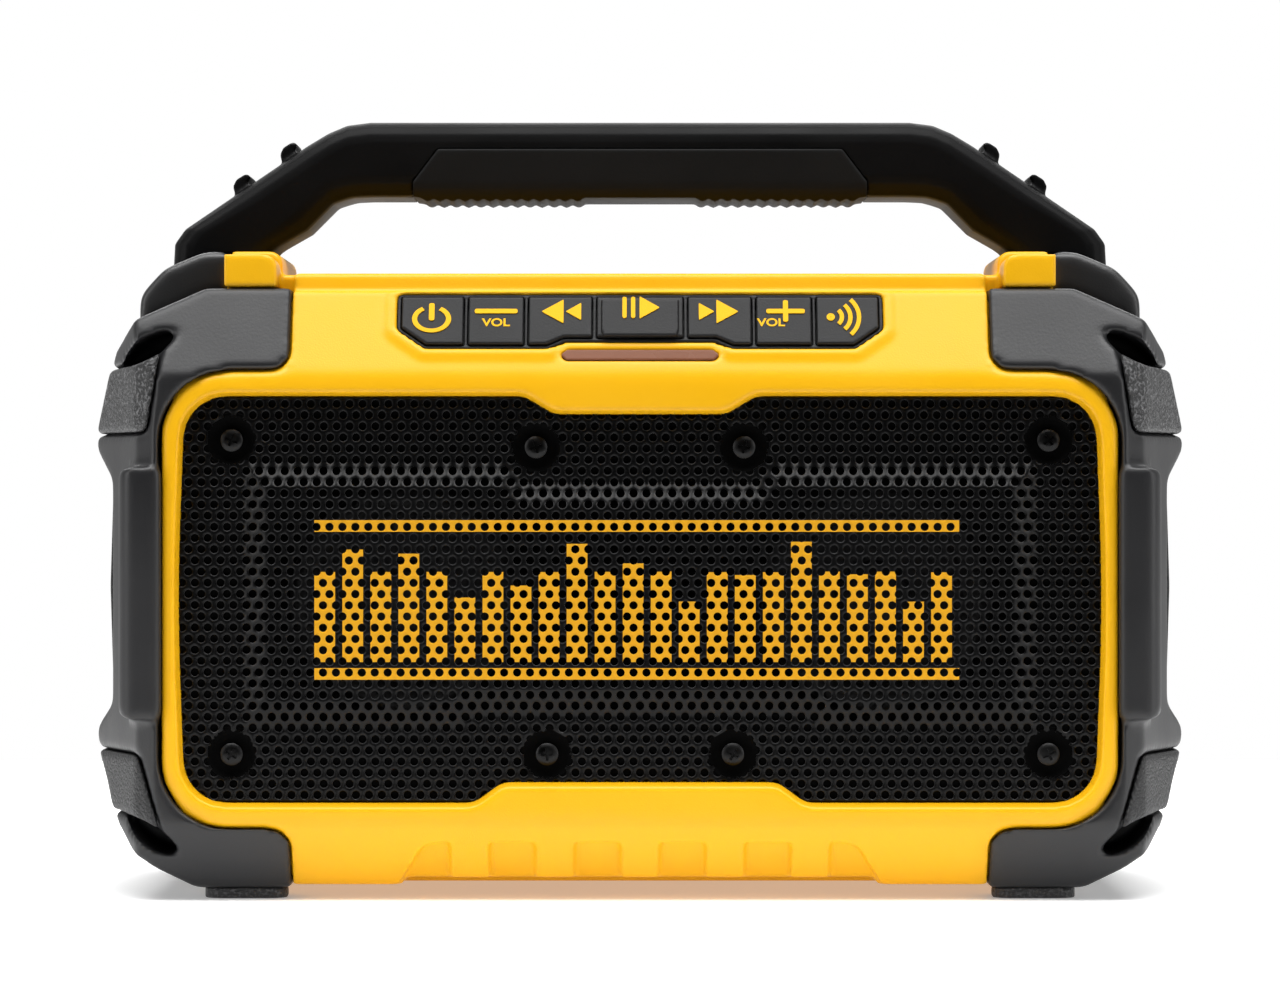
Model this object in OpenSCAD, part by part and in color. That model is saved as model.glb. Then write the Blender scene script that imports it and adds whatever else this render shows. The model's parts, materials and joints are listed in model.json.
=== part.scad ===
// Rugged carry speaker: two-part housing, perforated steel grille, rubber key pad,
// side guards with corner bumpers, fixed carry handle and a rear battery bay.
// +Z is up, the grille faces -Y, and the origin is on the floor under the middle.

/* [Body] */
// Width of the yellow housing between the side guards
body_w = 222; // [216:1:232]
// Height of the yellow housing
body_h = 143; // [140:0.5:150]
// Depth of the yellow housing, front frame to rear face
body_d = 122; // [118:1:134]
// Corner radius of the housing in front view
body_r = 24; // [20:0.5:26]
// Corner radius of the front frame
frame_r = 16; // [13:0.5:18]
// Wall of the housing halves
wall = 3; // [2.4:0.1:3.4]
// Height of the sloped band above the front frame
slope_h = 20; // [18:0.5:22]
// How far the upper band leans back
slope_run = 11; // [9:0.5:13]
// Height of the sloped band below the front frame
low_slope_h = 15; // [13:0.5:17]
// Height of the hollow under the middle of the front
belly_h = 1.8; // [1:0.2:2.4]
// How far the lower band leans back
low_slope_run = 11; // [9:0.5:13]
// Height of the raised lip on the roof
lip_h = 4.5; // [3.5:0.25:6]
// Ledge in front of the raised lip
lip_ledge = 3; // [2:0.25:4]
// Distance from the front frame to the parting line of the halves
part_depth = 27; // [24:0.5:29]

/* [Guards] */
// Width of the guards beyond the housing at the bumpers
guard_out = 19; // [18:0.5:20.5]
// Width of the guards beyond the housing at the waist
waist_out = 13.5; // [12.5:0.5:14.5]
// Thickness of the guard sunk into the housing
guard_t = 2.5; // [2:0.1:3]
// How far the guard stands proud of the housing
guard_proud = 0.8; // [0.5:0.1:1.2]
// Seam between guard and housing
seam_gap = 0.3; // [0.2:0.05:0.5]
// Half distance between the guard tabs on the front
tab_x = 81; // [76:0.5:84]
// Depth of the guard tabs on the roof and floor
tab_d = 24; // [20:0.5:25]
// Thickness of the rubber bumpers and side grips
pad_t = 2.5; // [2:0.1:3]
// How far the bumpers stand proud of the guard
pad_proud = 0.5; // [0.3:0.1:0.8]
// Thickness of the rubber feet
foot_h = 2.5; // [2:0.25:3.5]
// Length of the lens shaped pocket in each corner
lens_l = 16; // [12:0.5:17]
// Height of the lens shaped pocket
lens_h = 5; // [4:0.25:5.5]

/* [Grille] */
// Width of the grille opening at its corners
opening_w = 211.5; // [208:0.5:212]
// How far the opening's sides bow out in the middle
opening_bow = 1.8; // [1:0.2:2]
// Height of the grille opening
opening_h = 94.5; // [91:0.5:95]
// Corner radius of the grille opening
opening_r = 10; // [8:0.5:12]
// Steel sheet of the grille
sheet_t = 1; // [0.8:0.1:1.2]
// Diameter of the perforations
hole_d = 3; // [2.6:0.1:3.2]
// Pitch of the perforations in a row
hole_pitch = 4.6; // [4.4:0.1:5]
// Spacing of the rows
row_pitch = 4; // [3.8:0.1:4.4]
// Height of the pressed panel in the grille
emboss_h = 3; // [2:0.25:3.5]
// Diameter of the screw dimples
dimple_d = 11; // [10:0.25:12]
// Depth of the screw dimples
dimple_h = 1.5; // [1:0.1:2]

/* [Keys] */
// Half width of the key pad
pad_half = 56.5; // [54:0.5:59]
// Travel of a key
key_travel = 0.8; // [0.5:0.1:1.2]
// Gap round each key
key_gap = 0.35; // [0.3:0.05:0.5]
// Depth of the key pad in the housing
key_depth = 3; // [2.6:0.1:3.4]
// Height of the keys over the band
key_rise = 0.7; // [0.4:0.1:1.2]

/* [Handle] */
// Height of the handle's top over the floor
handle_top = 184; // [178:0.5:194]
// Thickness of the handle bar
bar_t = 18; // [16:0.5:20]
// Depth of the handle
handle_d = 32; // [28:0.5:36]
// Half width of the handle's feet
leg_out = 112; // [110:0.5:114]
// Half length of the soft grip
grip_half = 54.5; // [50:0.5:58]
// Pitch of the grip's ridges
ridge_pitch = 3; // [2.5:0.1:4]

/* [Drivers] */
// Distance of each driver from the middle
driver_x = 55; // [50:0.5:58]
// Outside diameter of the driver's flange
driver_d = 62; // [56:0.5:63]
// Depth of the driver's basket
basket_h = 16; // [14:0.5:20]
// Diameter of the magnet
magnet_d = 44; // [38:0.5:48]
// Thickness of the magnet
magnet_h = 13; // [11:0.5:16]
// Travel of the cone each way
cone_travel = 2; // [1:0.25:2.5]

/* [Rear] */
// Width of the battery bay inside
bay_w = 84; // [80:1:88]
// Depth of the battery bay
bay_d = 34; // [30:0.5:36]
// Height of the battery bay's floor above the housing's base
bay_floor = 19; // [17:0.5:24]
// Wall of the battery bay
bay_t = 3; // [2.4:0.1:3.4]
// Width of the port recess
port_w = 40; // [38:0.5:42]
// Height of the port recess
port_h = 22; // [20:0.5:24]
// Thickness of the port cover
cover_t = 3; // [2.5:0.1:3.2]
// Diameter of the audio socket
aux_d = 3.5; // [3.4:0.1:3.6]

/* [Hidden] */
$fn = 48;

yellow = "#fbb813";
charcoal = "#4a494d";
black = "#1b1b1c";

far = 400;
half_w = body_w / 2;
y_front = -body_d / 2;
y_rear = body_d / 2;
z_bot = foot_h + guard_proud;
z_top = z_bot + body_h;
ridge_lo = z_bot + low_slope_h;
slope_top = z_top - lip_h;
ridge_hi = slope_top - slope_h;
y_part = y_front + part_depth;
inner = guard_t + wall;
tilt = atan(slope_run / slope_h);
slope_l = norm([slope_run, slope_h]);
low_tilt = atan(low_slope_run / low_slope_h);

// Points of outlines are [x, y, corner radius]
function unit(v) = v / norm(v);
function flat(p) = [p.x, p.y];
function turn_of(p, q, s) = cross(flat(q) - flat(p), flat(s) - flat(q));

// Corner q pushed inwards by e on a counter-clockwise outline
function inset_corner(p, q, s, e) =
  let (a = unit(flat(q) - flat(p)), b = unit(flat(s) - flat(q)),
       na = [-a.y, a.x], nb = [-b.y, b.x],
       at = flat(q) + e * (na + nb) / (1 + na * nb),
       r = q.z == 0 ? 0 : turn_of(p, q, s) > 0 ? max(q.z - e, 0) : max(q.z + e, 0))
  [at.x, at.y, r];
function inset(o, e) = e == 0 ? o :
  [for (i = [0 : len(o) - 1]) inset_corner(o[(i + len(o) - 1) % len(o)], o[i], o[(i + 1) % len(o)], e)];

// The arc that rounds corner q
function fillet(p, q, s, steps) =
  let (c0 = flat(q), a = unit(flat(p) - c0), b = unit(flat(s) - c0),
       half = acos(a * b) / 2, c = c0 + unit(a + b) * q.z / sin(half),
       u = c0 + a * q.z / tan(half) - c, sweep = (180 - 2 * half) * sign(turn_of(p, q, s)))
  [for (i = [0 : steps]) let (t = sweep * i / steps)
    c + [u.x * cos(t) - u.y * sin(t), u.x * sin(t) + u.y * cos(t)]];
function rounded(o, steps = 5) =
  [for (i = [0 : len(o) - 1]) each o[i].z <= 0 ? [flat(o[i])] :
    fillet(o[(i + len(o) - 1) % len(o)], o[i], o[(i + 1) % len(o)], steps)];
function mirrored_x(o) = concat(o, [for (i = [len(o) - 1 : -1 : 0]) [-o[i].x, o[i].y, o[i].z]]);
function inside(p, pts) =
  len([for (i = [0 : len(pts) - 1]) let (a = pts[i], b = pts[(i + 1) % len(pts)])
    if ((a.y > p.y) != (b.y > p.y) && p.x < (b.x - a.x) * (p.y - a.y) / (b.y - a.y) + a.x) 1]) % 2 == 1;

module shape(o, e = 0, steps = 5) polygon(rounded(inset(o, e), steps));
module along_y(y0, y1) translate([0, y1, 0]) rotate([90, 0, 0]) linear_extrude(y1 - y0) children();
module along_x(x0, x1) translate([x0, 0, 0]) rotate([90, 0, 90]) linear_extrude(x1 - x0) children();
module along_z(z0, z1) translate([0, 0, z0]) linear_extrude(z1 - z0) children();
module bar(lo, hi) translate(lo) cube(hi - lo);
module peg(at, d, l) translate(at) rotate([-90, 0, 0]) cylinder(d = d, h = l);
module mirror_pair() { children(); mirror([1, 0, 0]) children(); }
module front_back() { children(); mirror([0, 1, 0]) children(); }

// A solid through rings of points, closed by a fan at each end
function centre(r) = [for (k = [0 : 2]) [for (p = r) p[k]] * [for (p = r) 1] / len(r)];
module loft(rings) {
  n = len(rings[0]);
  m = len(rings);
  points = concat([for (r = rings) each r], [centre(rings[0]), centre(rings[m - 1])]);
  sides = [for (j = [0 : m - 2], i = [0 : n - 1]) each
    let (a = j * n + i, b = j * n + (i + 1) % n) [[a, b + n, b], [a, a + n, b + n]]];
  caps = [for (i = [0 : n - 1]) each
    [[m * n, i, (i + 1) % n], [m * n + 1, (m - 1) * n + (i + 1) % n, (m - 1) * n + i]]];
  polyhedron(points, concat(sides, caps));
}
function ring_at_y(o, e, y, steps = 5) = [for (p = rounded(inset(o, e), steps)) [p.x, y, p.y]];

// Frames of the two sloped bands: x across, y up the band, z straight out of it
module on_slope() translate([0, y_front, ridge_hi]) rotate([90 - tilt, 0, 0]) children();
module on_low_slope() translate([0, y_front, ridge_lo]) rotate([90 + low_tilt, 0, 0]) children();

// Housing envelope
ridge_r = 2;
lip_lean = 1;
band_half = [[y_rear - low_slope_run, z_bot, ridge_r], [y_rear, ridge_lo, ridge_r], [y_rear, ridge_hi,
  ridge_r],
  [y_rear - slope_run, slope_top, 0]];
side_outline = mirrored_x(concat(band_half, [[y_rear - slope_run - lip_ledge, slope_top, 0],
  [y_rear - slope_run - lip_ledge - lip_lean, z_top, lip_lean]]));
side_plain = mirrored_x(band_half);
front_outline = mirrored_x([[half_w, z_bot, body_r], [half_w, z_top, body_r]]);

// What stays yellow in front view: the frame, and the strip between the guard tabs
tab_r = 5;
over = 2;
lap = 1.2;
clear = 0.4;
window = mirrored_x([[tab_x, -far / 4, 0], [tab_x, ridge_lo - lap, tab_r], [half_w + clear,
  ridge_lo - lap, frame_r + clear],
  [half_w + clear, ridge_hi + lap, frame_r + clear], [tab_x, ridge_hi + lap, tab_r], [tab_x, far, 0]]);
shoulder_x = 97.5;
tab_y = body_d / 2 - tab_d;
module body_envelope(e, outline = side_outline) intersection() {
  along_y(-body_d, body_d) shape(front_outline, e);
  along_x(-body_w, body_w) shape(outline, e);
}
module yellow_zone(gap) {
  along_y(-far, far) shape(window, -gap, 10);
  bar([-shoulder_x - gap, -tab_y - gap, -1], [shoulder_x + gap, tab_y + gap, far]);
}
module yellow_body() {
  body_envelope(guard_t, side_plain);
  intersection() { body_envelope(0); yellow_zone(0); }
}

// Grille opening, with the frame's middle reaching in above and below
opening_z = (ridge_lo + ridge_hi) / 2;
open_lo = opening_z - opening_h / 2;
open_hi = opening_z + opening_h / 2;
notch_hi = 4.2;
notch_lo = 4.8;
bow_r = 500;
notch_r = 6;
opening = mirrored_x([[32, open_lo + notch_lo, notch_r], [38.5, open_lo, notch_r],
  [opening_w / 2, open_lo, opening_r], [opening_w / 2 + opening_bow, opening_z, bow_r],
  [opening_w / 2, open_hi, opening_r],
  [27, open_hi, notch_r], [20, open_hi - notch_hi, notch_r]]);
bevel_w = 0.4;
bevel_d = 3.8;
sheet_y = y_front + 4.5;
baffle_y = sheet_y + sheet_t;
baffle_t = 5;
ledge_y = baffle_y + baffle_t;
ledge_t = 3;
ledge_w = 14;
cavity_y = ledge_y + ledge_t;
fit = 0.3;

// Grille screws: [x, z]
screw_at = [for (s = [-1, 1]) each [[s * (opening_w / 2 - 10.75), open_hi - 10.25], [s * 24.2,
  open_hi - notch_hi - 7.65],
  [s * (opening_w / 2 - 10.75), open_lo + 11.25], [s * 21.6, open_lo + 11.25]]];
screw_d = 3;
head_d = 5.6;
head_h = 1.2;
boss_d = 7;
boss_l = 8;

// Key pad outline on the sloped band
pad_lo = 7.4;
pad_hi = slope_l - 0.8;
key_pad = mirrored_x([[17.5, pad_lo + 2, 1], [21.5, pad_lo, 1], [pad_half - 6.4, pad_lo, 1.5],
  [pad_half, pad_lo + 5, 1.5], [pad_half, pad_hi, 1]]);
web = 0.8;
key_edges = [-pad_half, -40.5, -26.5, -10.6, 10.6, 26.5, 40.5, pad_half];
stem_d = 4;
stem_v = (pad_lo + pad_hi) / 2 + 1;
dome_h = 0.6;
board_t = 1.6;
stem_end = -inner - 0.3;
dome_top = stem_end - key_travel - 0.1;
board_w = dome_top - dome_h;
function key_mid(i) = (key_edges[i] + key_edges[i + 1]) / 2;

// Light bar under the key pad
light = mirrored_x([[17, 4.4, 0.4], [18.4, 5.7, 0.4], [17, 7, 0.4]]);
light_rise = 0.3;
light_end = -inner - 1;
light_lip = 1;

// Housing posts and rear screw wells: [x, z]
post_at = [for (x = [-1, 1], z = [open_lo + 6.25, open_hi - 6.25]) [x * (opening_w / 2 - 24.25), z]];
post_d = 9;
well_d = 7;
well_floor = 4;
long_d = 3.6;
long_l = 22;
pilot = 0.6;

// Rear bay and ports
bay_x = bay_w / 2;
bay_y = y_rear - bay_d;
bay_z = z_bot + bay_floor;
rail_in = 5;
rail_t = 4;
rail_y = bay_y + 13;
rail_top = bay_z + 82;
port_x = -(bay_x + bay_t + port_w / 2 + 6);
port_z = opening_z + 8;
port_depth = 9;
plate_t = 2.5;
hinge_r = cover_t / 2;
pin_d = 2;
pin_fit = 0.06;
pin_l = 2;
hinge_x = port_x + port_w / 2 - fit - hinge_r;
hinge_y = y_rear - hinge_r;
socket_y = y_rear - port_depth;

module bay_space(e) bar([-bay_x - e, bay_y - e, bay_z - e], [bay_x + e, y_rear + 1, far]);
module cavity(e = 0) difference() {
  intersection() {
    body_envelope(inner + e, side_plain);
    bar([-far, cavity_y + e, -1], [far, far, far]);
  }
  bay_space(bay_t + wall + e);
  port_block(e);
}
module port_block(e = 0) bar([port_x - port_w / 2 - wall - e, socket_y - plate_t - wall - e,
  port_z - port_h / 2 - wall - e],
  [port_x + port_w / 2 + wall + e, far, port_z + port_h / 2 + wall + e]);

// Front half
rib_n = 5;
rib_w = 9;
rib_pitch = 19.8;
scoop_d = 1.6;
low_l = norm([low_slope_run, low_slope_h]);
scoop = mirrored_x([[58.5, -low_l - 4, 0], [55.5, -low_l + 1.5, 0], [50, -low_l + 12.6, 6]]);
module scoop_cut() on_low_slope() translate([0, 0, -scoop_d]) linear_extrude(far / 10) difference() {
  shape(scoop);
  for (i = [0 : rib_n - 1]) translate([(i - (rib_n - 1) / 2) * rib_pitch - rib_w / 2, -far / 10])
    square([rib_w, far / 10 - low_l + 11.8]);
}
belly = mirrored_x([[57.5, z_bot - 2, 0], [54.3, z_bot + belly_h, 0.5]]);
pad_rim_h = 0.7;
rim_gap = 20;
module pad_rim() difference() {
  intersection() {
    on_slope() rotate([-90, 0, 0])
      loft([ring_at_y(key_pad, -4.6, 0.5), ring_at_y(key_pad, -1.75, -pad_rim_h)]);
    on_slope() translate([-body_w, 0, -1]) cube([2 * body_w, slope_l, 4]);
  }
  on_slope() translate([-rim_gap, -4, -2]) cube([2 * rim_gap, pad_lo + 6.6, 6]);
}
module front_boss() mirror_pair() along_y(y_front + slope_run + 0.5, y_part)
  shape(front_boss_outline);
module board_space() on_slope() translate([4 - pad_half, 3.5, -inner - 9]) cube([2 * pad_half - 8,
  stem_v + 2.5, 9]);
module light_slot(e, w0, w1) on_slope() translate([0, 0, w0]) linear_extrude(w1 - w0) shape(light, -e);
module front_shell() color(yellow) difference() {
  union() {
    difference() {
      intersection() { yellow_body(); bar([-far, -far, -1], [far, y_part, far]); }
      cavity();
      board_space();
    }
    for (p = post_at) peg([p.x, cavity_y, p.y], post_d, y_part - cavity_y);
    for (p = screw_at) peg([p.x, cavity_y - 0.5, p.y], boss_d, boss_l);
    pad_rim();
    front_boss();
    for (x = [-1, 1]) on_slope() translate([x * (pad_half - 14), stem_v, board_w])
      cylinder(d = post_d / 2, h = -board_w - inner / 2);
  }
  loft([ring_at_y(opening, 0, sheet_y - 0.4), ring_at_y(opening, -bevel_w - 0.5, y_front - 0.5)]);
  along_y(y_front, ledge_y) shape(opening);
  along_y(y_front, cavity_y + 1) shape(opening, ledge_w);
  for (p = screw_at) peg([p.x, ledge_y - 1, p.y], screw_d - pilot, boss_l);
  for (p = post_at) peg([p.x, y_part - 16, p.y], long_d - pilot, 17);
  on_slope() {
    translate([0, 0, -key_depth]) linear_extrude(far / 10) shape(key_pad, -0.1);
    for (i = [0 : 6]) translate([key_mid(i), stem_v, -inner - 9]) cylinder(d = stem_d + 1, h = inner + 9);
  }
  light_slot(0.1, light_end - 1, 5);
  scoop_cut();
  along_y(-far, y_part - 4) shape(belly);
}

// Rear half
foot_boss_h = 5;
boss_x = 85;
boss_y = 27;
shoulder_z = z_top + 6;
boss_outline = [[boss_x, z_top - 1, 0], [shoulder_x - seam_gap, z_top - 1, 0], [shoulder_x - seam_gap,
  shoulder_z, 0],
  [boss_x, shoulder_z, 3]];
boss_floor = slope_top + guard_proud + seam_gap;
front_boss_outline = [for (p = boss_outline) [p.x, p.y > z_top ? p.y - 1.7 : boss_floor, p.z]];
module handle_boss() mirror_pair() along_y(-boss_y, boss_y) shape(boss_outline);
handle_screw_at = [for (x = [-1, 1], y = [-7, 7]) [x * (boss_x + shoulder_x) / 2, y]];
board_at = [for (x = [-1, 1], z = [0, 44]) [x * 40, z + bay_z + 24]];
board_y = bay_y - bay_t - wall - 12;
module rear_shell() color(yellow) difference() {
  union() {
    difference() {
      intersection() { yellow_body(); bar([-far, y_part, -1], [far, far, far]); }
      cavity();
    }
    intersection() {
      for (p = post_at) peg([p.x, y_part, p.y], post_d + 1, y_rear - inner - y_part);
      body_envelope(guard_t + 1, side_plain);
    }
    handle_boss();
    for (p = board_at) peg([p.x, board_y + board_t, p.y], 6, bay_y - bay_t - wall - board_y - board_t);
  }
  bay_space(bay_t);
  bar([port_x - port_w / 2, socket_y - plate_t, port_z - port_h / 2], [port_x + port_w / 2, far,
    port_z + port_h / 2]);
  port_relief();
  hinge_holes();
  for (p = post_at) {
    peg([p.x, y_part + well_floor, p.y], well_d, far);
    peg([p.x, y_part - 1, p.y], long_d + 0.8, well_floor + 2);
  }
  for (p = board_at) peg([p.x, board_y, p.y], screw_d - pilot, 10);
  for (p = handle_screw_at) {
    translate([p.x, p.y, z_top - 30]) cylinder(d = long_d + 0.8, h = 40);
    translate([p.x, p.y, screw_seat - 20]) cylinder(d = well_d + 0.6, h = 20);
  }
  seal_groove(0);
  jack_cuts();
}
relief = 3;
module port_relief() translate([port_x + port_w / 2, y_rear, 0]) along_z(port_z - port_h / 2 + fit / 2,
  port_z + port_h / 2 - fit / 2)
  polygon([[-1, -relief - 1], [relief + 1, 1], [-1, 1]]);
module hinge_holes() translate([hinge_x, hinge_y, port_z - port_h / 2 - pin_l - 0.2])
  cylinder(d = pin_d + 2 * pin_fit, h = port_h + 2 * pin_l + 0.4);
seal_t = 1.6;
module seal_groove(e) along_y(y_part - 1, y_part + seal_t) difference() {
  shape(front_outline, inner - 2.2);
  shape(front_outline, inner - 0.8);
}
module housing_seal() color(black) intersection() {
  along_y(y_part, y_part + seal_t) difference() {
    shape(front_outline, inner - 2.2);
    shape(front_outline, inner - 0.8);
  }
  yellow_body();
}

// Grille: a perforated sheet with a pressed panel and screw dimples
emboss_slope = 5.4;
emboss = mirrored_x([[38, open_lo + 20.75, 0], [42, open_lo + 17.75, 0],
  [opening_w / 2 - 13.75, open_lo + 17.75, 0], [opening_w / 2 - 13.75, open_hi - 15.75, 0],
  [30.5, open_hi - 15.75, 0], [26.5, open_hi - 20.15, 0]]);
sheet_rim = 1.2;
row_n = ceil(opening_h / row_pitch / 2);
col_n = ceil(opening_w / hole_pitch / 2);
hole_area = rounded(inset(opening, fit + sheet_rim + hole_d / 2), 4);
function hole_at(i, j) = [(i + (j % 2 == 0 ? 0 : 0.5)) * hole_pitch, opening_z + j * row_pitch];
function clear_of_screws(p) = min([for (s = screw_at) norm(p - s)]) > dimple_d / 2 + hole_d / 2 + 0.3;
module holes(j, area, void) for (i = [-col_n : col_n]) let (p = hole_at(i, j))
  if (inside(p, hole_area) && clear_of_screws(p) && inside(p, area) && !inside(p, void)) translate(p)
    circle(d = hole_d);
module band(j) translate([-far, opening_z + (j - 0.5) * row_pitch]) square([2 * far, row_pitch]);
near = hole_d / 2 + 0.3;
none = [[far, far], [far + 1, far], [far, far + 1]];
all_over = [[-far, -far], [far, -far], [far, far], [-far, far]];
module flange_row(j) along_y(sheet_y, sheet_y + sheet_t) difference() {
  intersection() {
    difference() { shape(opening, fit, 4); shape(emboss); }
    band(j);
  }
  holes(j, all_over, rounded(inset(emboss, -near)));
  for (s = screw_at) if (abs(s.y - opening_z - j * row_pitch) < dimple_d / 2 + row_pitch) translate(s)
    circle(d = dimple_d - 1);
}
module panel_row(j) along_y(sheet_y - emboss_h, sheet_y - emboss_h + sheet_t) difference() {
  intersection() { shape(emboss, emboss_slope); band(j); }
  holes(j, rounded(inset(emboss, emboss_slope + near)), none);
}
module panel_wall() difference() {
  loft([ring_at_y(emboss, 0, sheet_y + sheet_t), ring_at_y(emboss, 0, sheet_y), ring_at_y(emboss,
    emboss_slope, sheet_y - emboss_h)]);
  loft([ring_at_y(emboss, 0, sheet_y + sheet_t + 1), ring_at_y(emboss, 0, sheet_y + sheet_t),
    ring_at_y(emboss, emboss_slope, sheet_y - emboss_h + sheet_t),
    ring_at_y(emboss, emboss_slope, sheet_y - emboss_h - 1)]);
}
module dimple(p) translate([p.x, sheet_y, p.y]) rotate([-90, 0, 0]) rotate_extrude()
  polygon([[screw_d / 2 + 0.3, dimple_h], [dimple_d / 2 - sheet_t, dimple_h], [dimple_d / 2 - sheet_t, 0],
    [dimple_d / 2, 0], [dimple_d / 2, dimple_h + sheet_t], [screw_d / 2 + 0.3, dimple_h + sheet_t]]);
module grille() color(black) {
  for (j = [-row_n : row_n]) flange_row(j);
  for (j = [-row_n : row_n]) if (abs(j * row_pitch) < opening_h / 2 - 15) panel_row(j);
  panel_wall();
  for (p = screw_at) dimple(p);
}
module grille_screws() color(black) for (p = screw_at) {
  peg([p.x, sheet_y + dimple_h - head_h, p.y], head_d, head_h);
  peg([p.x, sheet_y + dimple_h - 0.1, p.y], screw_d - pilot, ledge_y - sheet_y + boss_l - dimple_h - 3);
}
hole_r = driver_d / 2 - 4;
module baffle() color(black) difference() {
  along_y(baffle_y, ledge_y) shape(opening, fit);
  mirror_pair() peg([driver_x, baffle_y - 1, opening_z], 2 * hole_r, baffle_t + 2);
  for (p = screw_at) {
    peg([p.x, baffle_y - 1, p.y], dimple_d + 2 * fit, dimple_h + sheet_t + 0.05);
    peg([p.x, baffle_y - 1, p.y], screw_d + 0.4, baffle_t + 2);
  }
  mirror_pair() for (a = [45 : 90 : 315]) translate([driver_x, 0, opening_z]) rotate([0, a, 0])
    peg([driver_d / 2 - 2, ledge_y - 3.5, 0], screw_d - 2 * pilot, 4);
}

// Key pad
module key_space(i, e) intersection() {
  shape(key_pad, web + e);
  translate([key_edges[i] + web / 2 + e, 0]) square([key_edges[i + 1] - key_edges[i] - web - 2 * e, far]);
}
module key_frame() color(charcoal) on_slope() translate([0, 0, -key_depth])
  linear_extrude(key_depth) difference() {
  shape(key_pad);
  for (i = [0 : 6]) key_space(i, 0);
}
key_low = -key_depth + key_travel + 0.2;
module key(i, rise) color(charcoal) on_slope() {
  translate([0, 0, key_low]) linear_extrude(rise - key_low) key_space(i, key_gap);
  translate([key_mid(i), stem_v, stem_end]) cylinder(d = stem_d, h = key_low - stem_end + 0.1);
}
play_rise = key_rise + 0.8;
play_top = [[-9, 9.5, 1], [9, 9.5, 1], [9.6, 11.5, 1], [9.6, pad_hi - 1.3, 0.6], [-9.6, pad_hi - 1.3,
  0.6], [-9.6, 11.5, 1]];
module play_key() {
  key(3, key_rise);
  color(charcoal) on_slope() translate([0, 0, key_rise - 0.1])
    linear_extrude(play_rise - key_rise + 0.1) shape(play_top, 0.8);
}
module power_key() key(0, key_rise);
module volume_down_key() key(1, key_rise);
module previous_key() key(2, key_rise);
module next_key() key(4, key_rise);
module volume_up_key() key(5, key_rise);
module pairing_key() key(6, key_rise);
module key_board() color("darkgreen") on_slope() translate([-pad_half + 6, stem_v - 5, board_w - board_t])
  cube([2 * pad_half - 12, 10, board_t]);
module dome_switches() color("silver") on_slope() for (i = [0 : 6])
  translate([key_mid(i), stem_v, board_w]) cylinder(d = stem_d + 1, h = dome_h);
module light_bar() color("#b98f86") light_slot(0, light_end, light_rise);

// Side guards
guard_front = [[tab_x - over, foot_h, 0], [half_w - 7.5, foot_h, 2], [half_w + 1.5, foot_h + 4.7, 3],
  [half_w + 7.2, foot_h + 8.8, 5], [half_w + 12, ridge_lo - 0.8, 6], [half_w + 14.6, ridge_lo + 8.5, 8],
  [half_w + guard_out, ridge_lo + 20, 5], [half_w + waist_out, ridge_lo + 27, 4],
  [half_w + waist_out, ridge_hi - 24, 4], [half_w + guard_out, ridge_hi - 16, 5],
  [half_w + 14.6, ridge_hi - 1, 6], [half_w + 12.5, ridge_hi + 6.2, 4],
  [half_w + 6.5, slope_top - 6.5, 4], [half_w - 9.5, slope_top + guard_proud, 3], [tab_x - over,
    slope_top + guard_proud, 0]];
guard_half = [[half_w + guard_out, y_rear - 39, 10], [half_w + waist_out, y_rear - 24, 8], [half_w + 6,
  y_rear - 4, 3],
  [half_w + 1.5, y_rear + guard_proud, 2], [tab_x - over, y_rear + guard_proud, 0]];
guard_top = concat([for (i = [len(guard_half) - 1 : -1 : 0]) [guard_half[i].x, -guard_half[i].y,
  guard_half[i].z]], guard_half);
module guard_envelope(e) intersection() {
  along_y(-far, far) shape(guard_front, e);
  along_z(-1, far) shape(guard_top, e);
  along_x(0, far) shape(side_plain, e - guard_proud);
}
bar_zone = [ridge_lo + 24, ridge_hi - 21];
bar_reach = 2;
bar_x = [half_w - 0.6, half_w + 10];
bar_section = [[bar_x[0], y_front + 7, 0], [bar_x[0], y_front - bar_reach, 3], [bar_x[1],
  y_front - bar_reach, 4.5], [bar_x[1], y_front + 9, 0]];
bar_front = [[bar_x[0] - 1, bar_zone[0], 4], [bar_x[1] + 1, bar_zone[0], 4], [bar_x[1] + 1,
  bar_zone[1], 4], [bar_x[0] - 1, bar_zone[1], 4]];
module guard_bars(e = 0) front_back() intersection() {
  along_z(bar_zone[0] - e, bar_zone[1] + e)
    polygon(rounded(inset([for (i = [3 : -1 : 0]) bar_section[i]], -e)));
  along_y(-far, 0) shape(bar_front, -e);
}
module lens(x, z, a) {
  r = (lens_l * lens_l / 4 + lens_h * lens_h / 4) / lens_h;
  translate([x, z]) rotate(a) intersection() {
    translate([0, r - lens_h / 2]) circle(r);
    translate([0, lens_h / 2 - r]) circle(r);
  }
}
lens_d = 24;
module lens_pockets() front_back() along_y(-far, y_front + lens_d) {
  lens(half_w + 3.3, ridge_hi + 6.8, -30);
  lens(half_w + 2.3, foot_h + 12.5, 34);
}
upper_zone = [[half_w + 3.2, ridge_hi - 13.4, 2.5], [half_w + 40, ridge_hi - 13.4, 0], [half_w + 40,
  ridge_hi, 0],
  [half_w + 10.4, ridge_hi + 2.8, 0], [half_w - 0.6, ridge_hi + 9, 0]];
lower_zone = [[half_w - 1.5, foot_h + 9.9, 0], [half_w + 9.2, foot_h + 17, 0], [half_w + 40,
  foot_h + 21, 0],
  [half_w + 40, ridge_lo + 16, 0], [half_w + 5.3, ridge_lo + 16, 2.5]];
pad_y = y_rear + 3;
module pad_zone(zone, e) along_y(-pad_y + e, pad_y - e) shape(zone, e);
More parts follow.
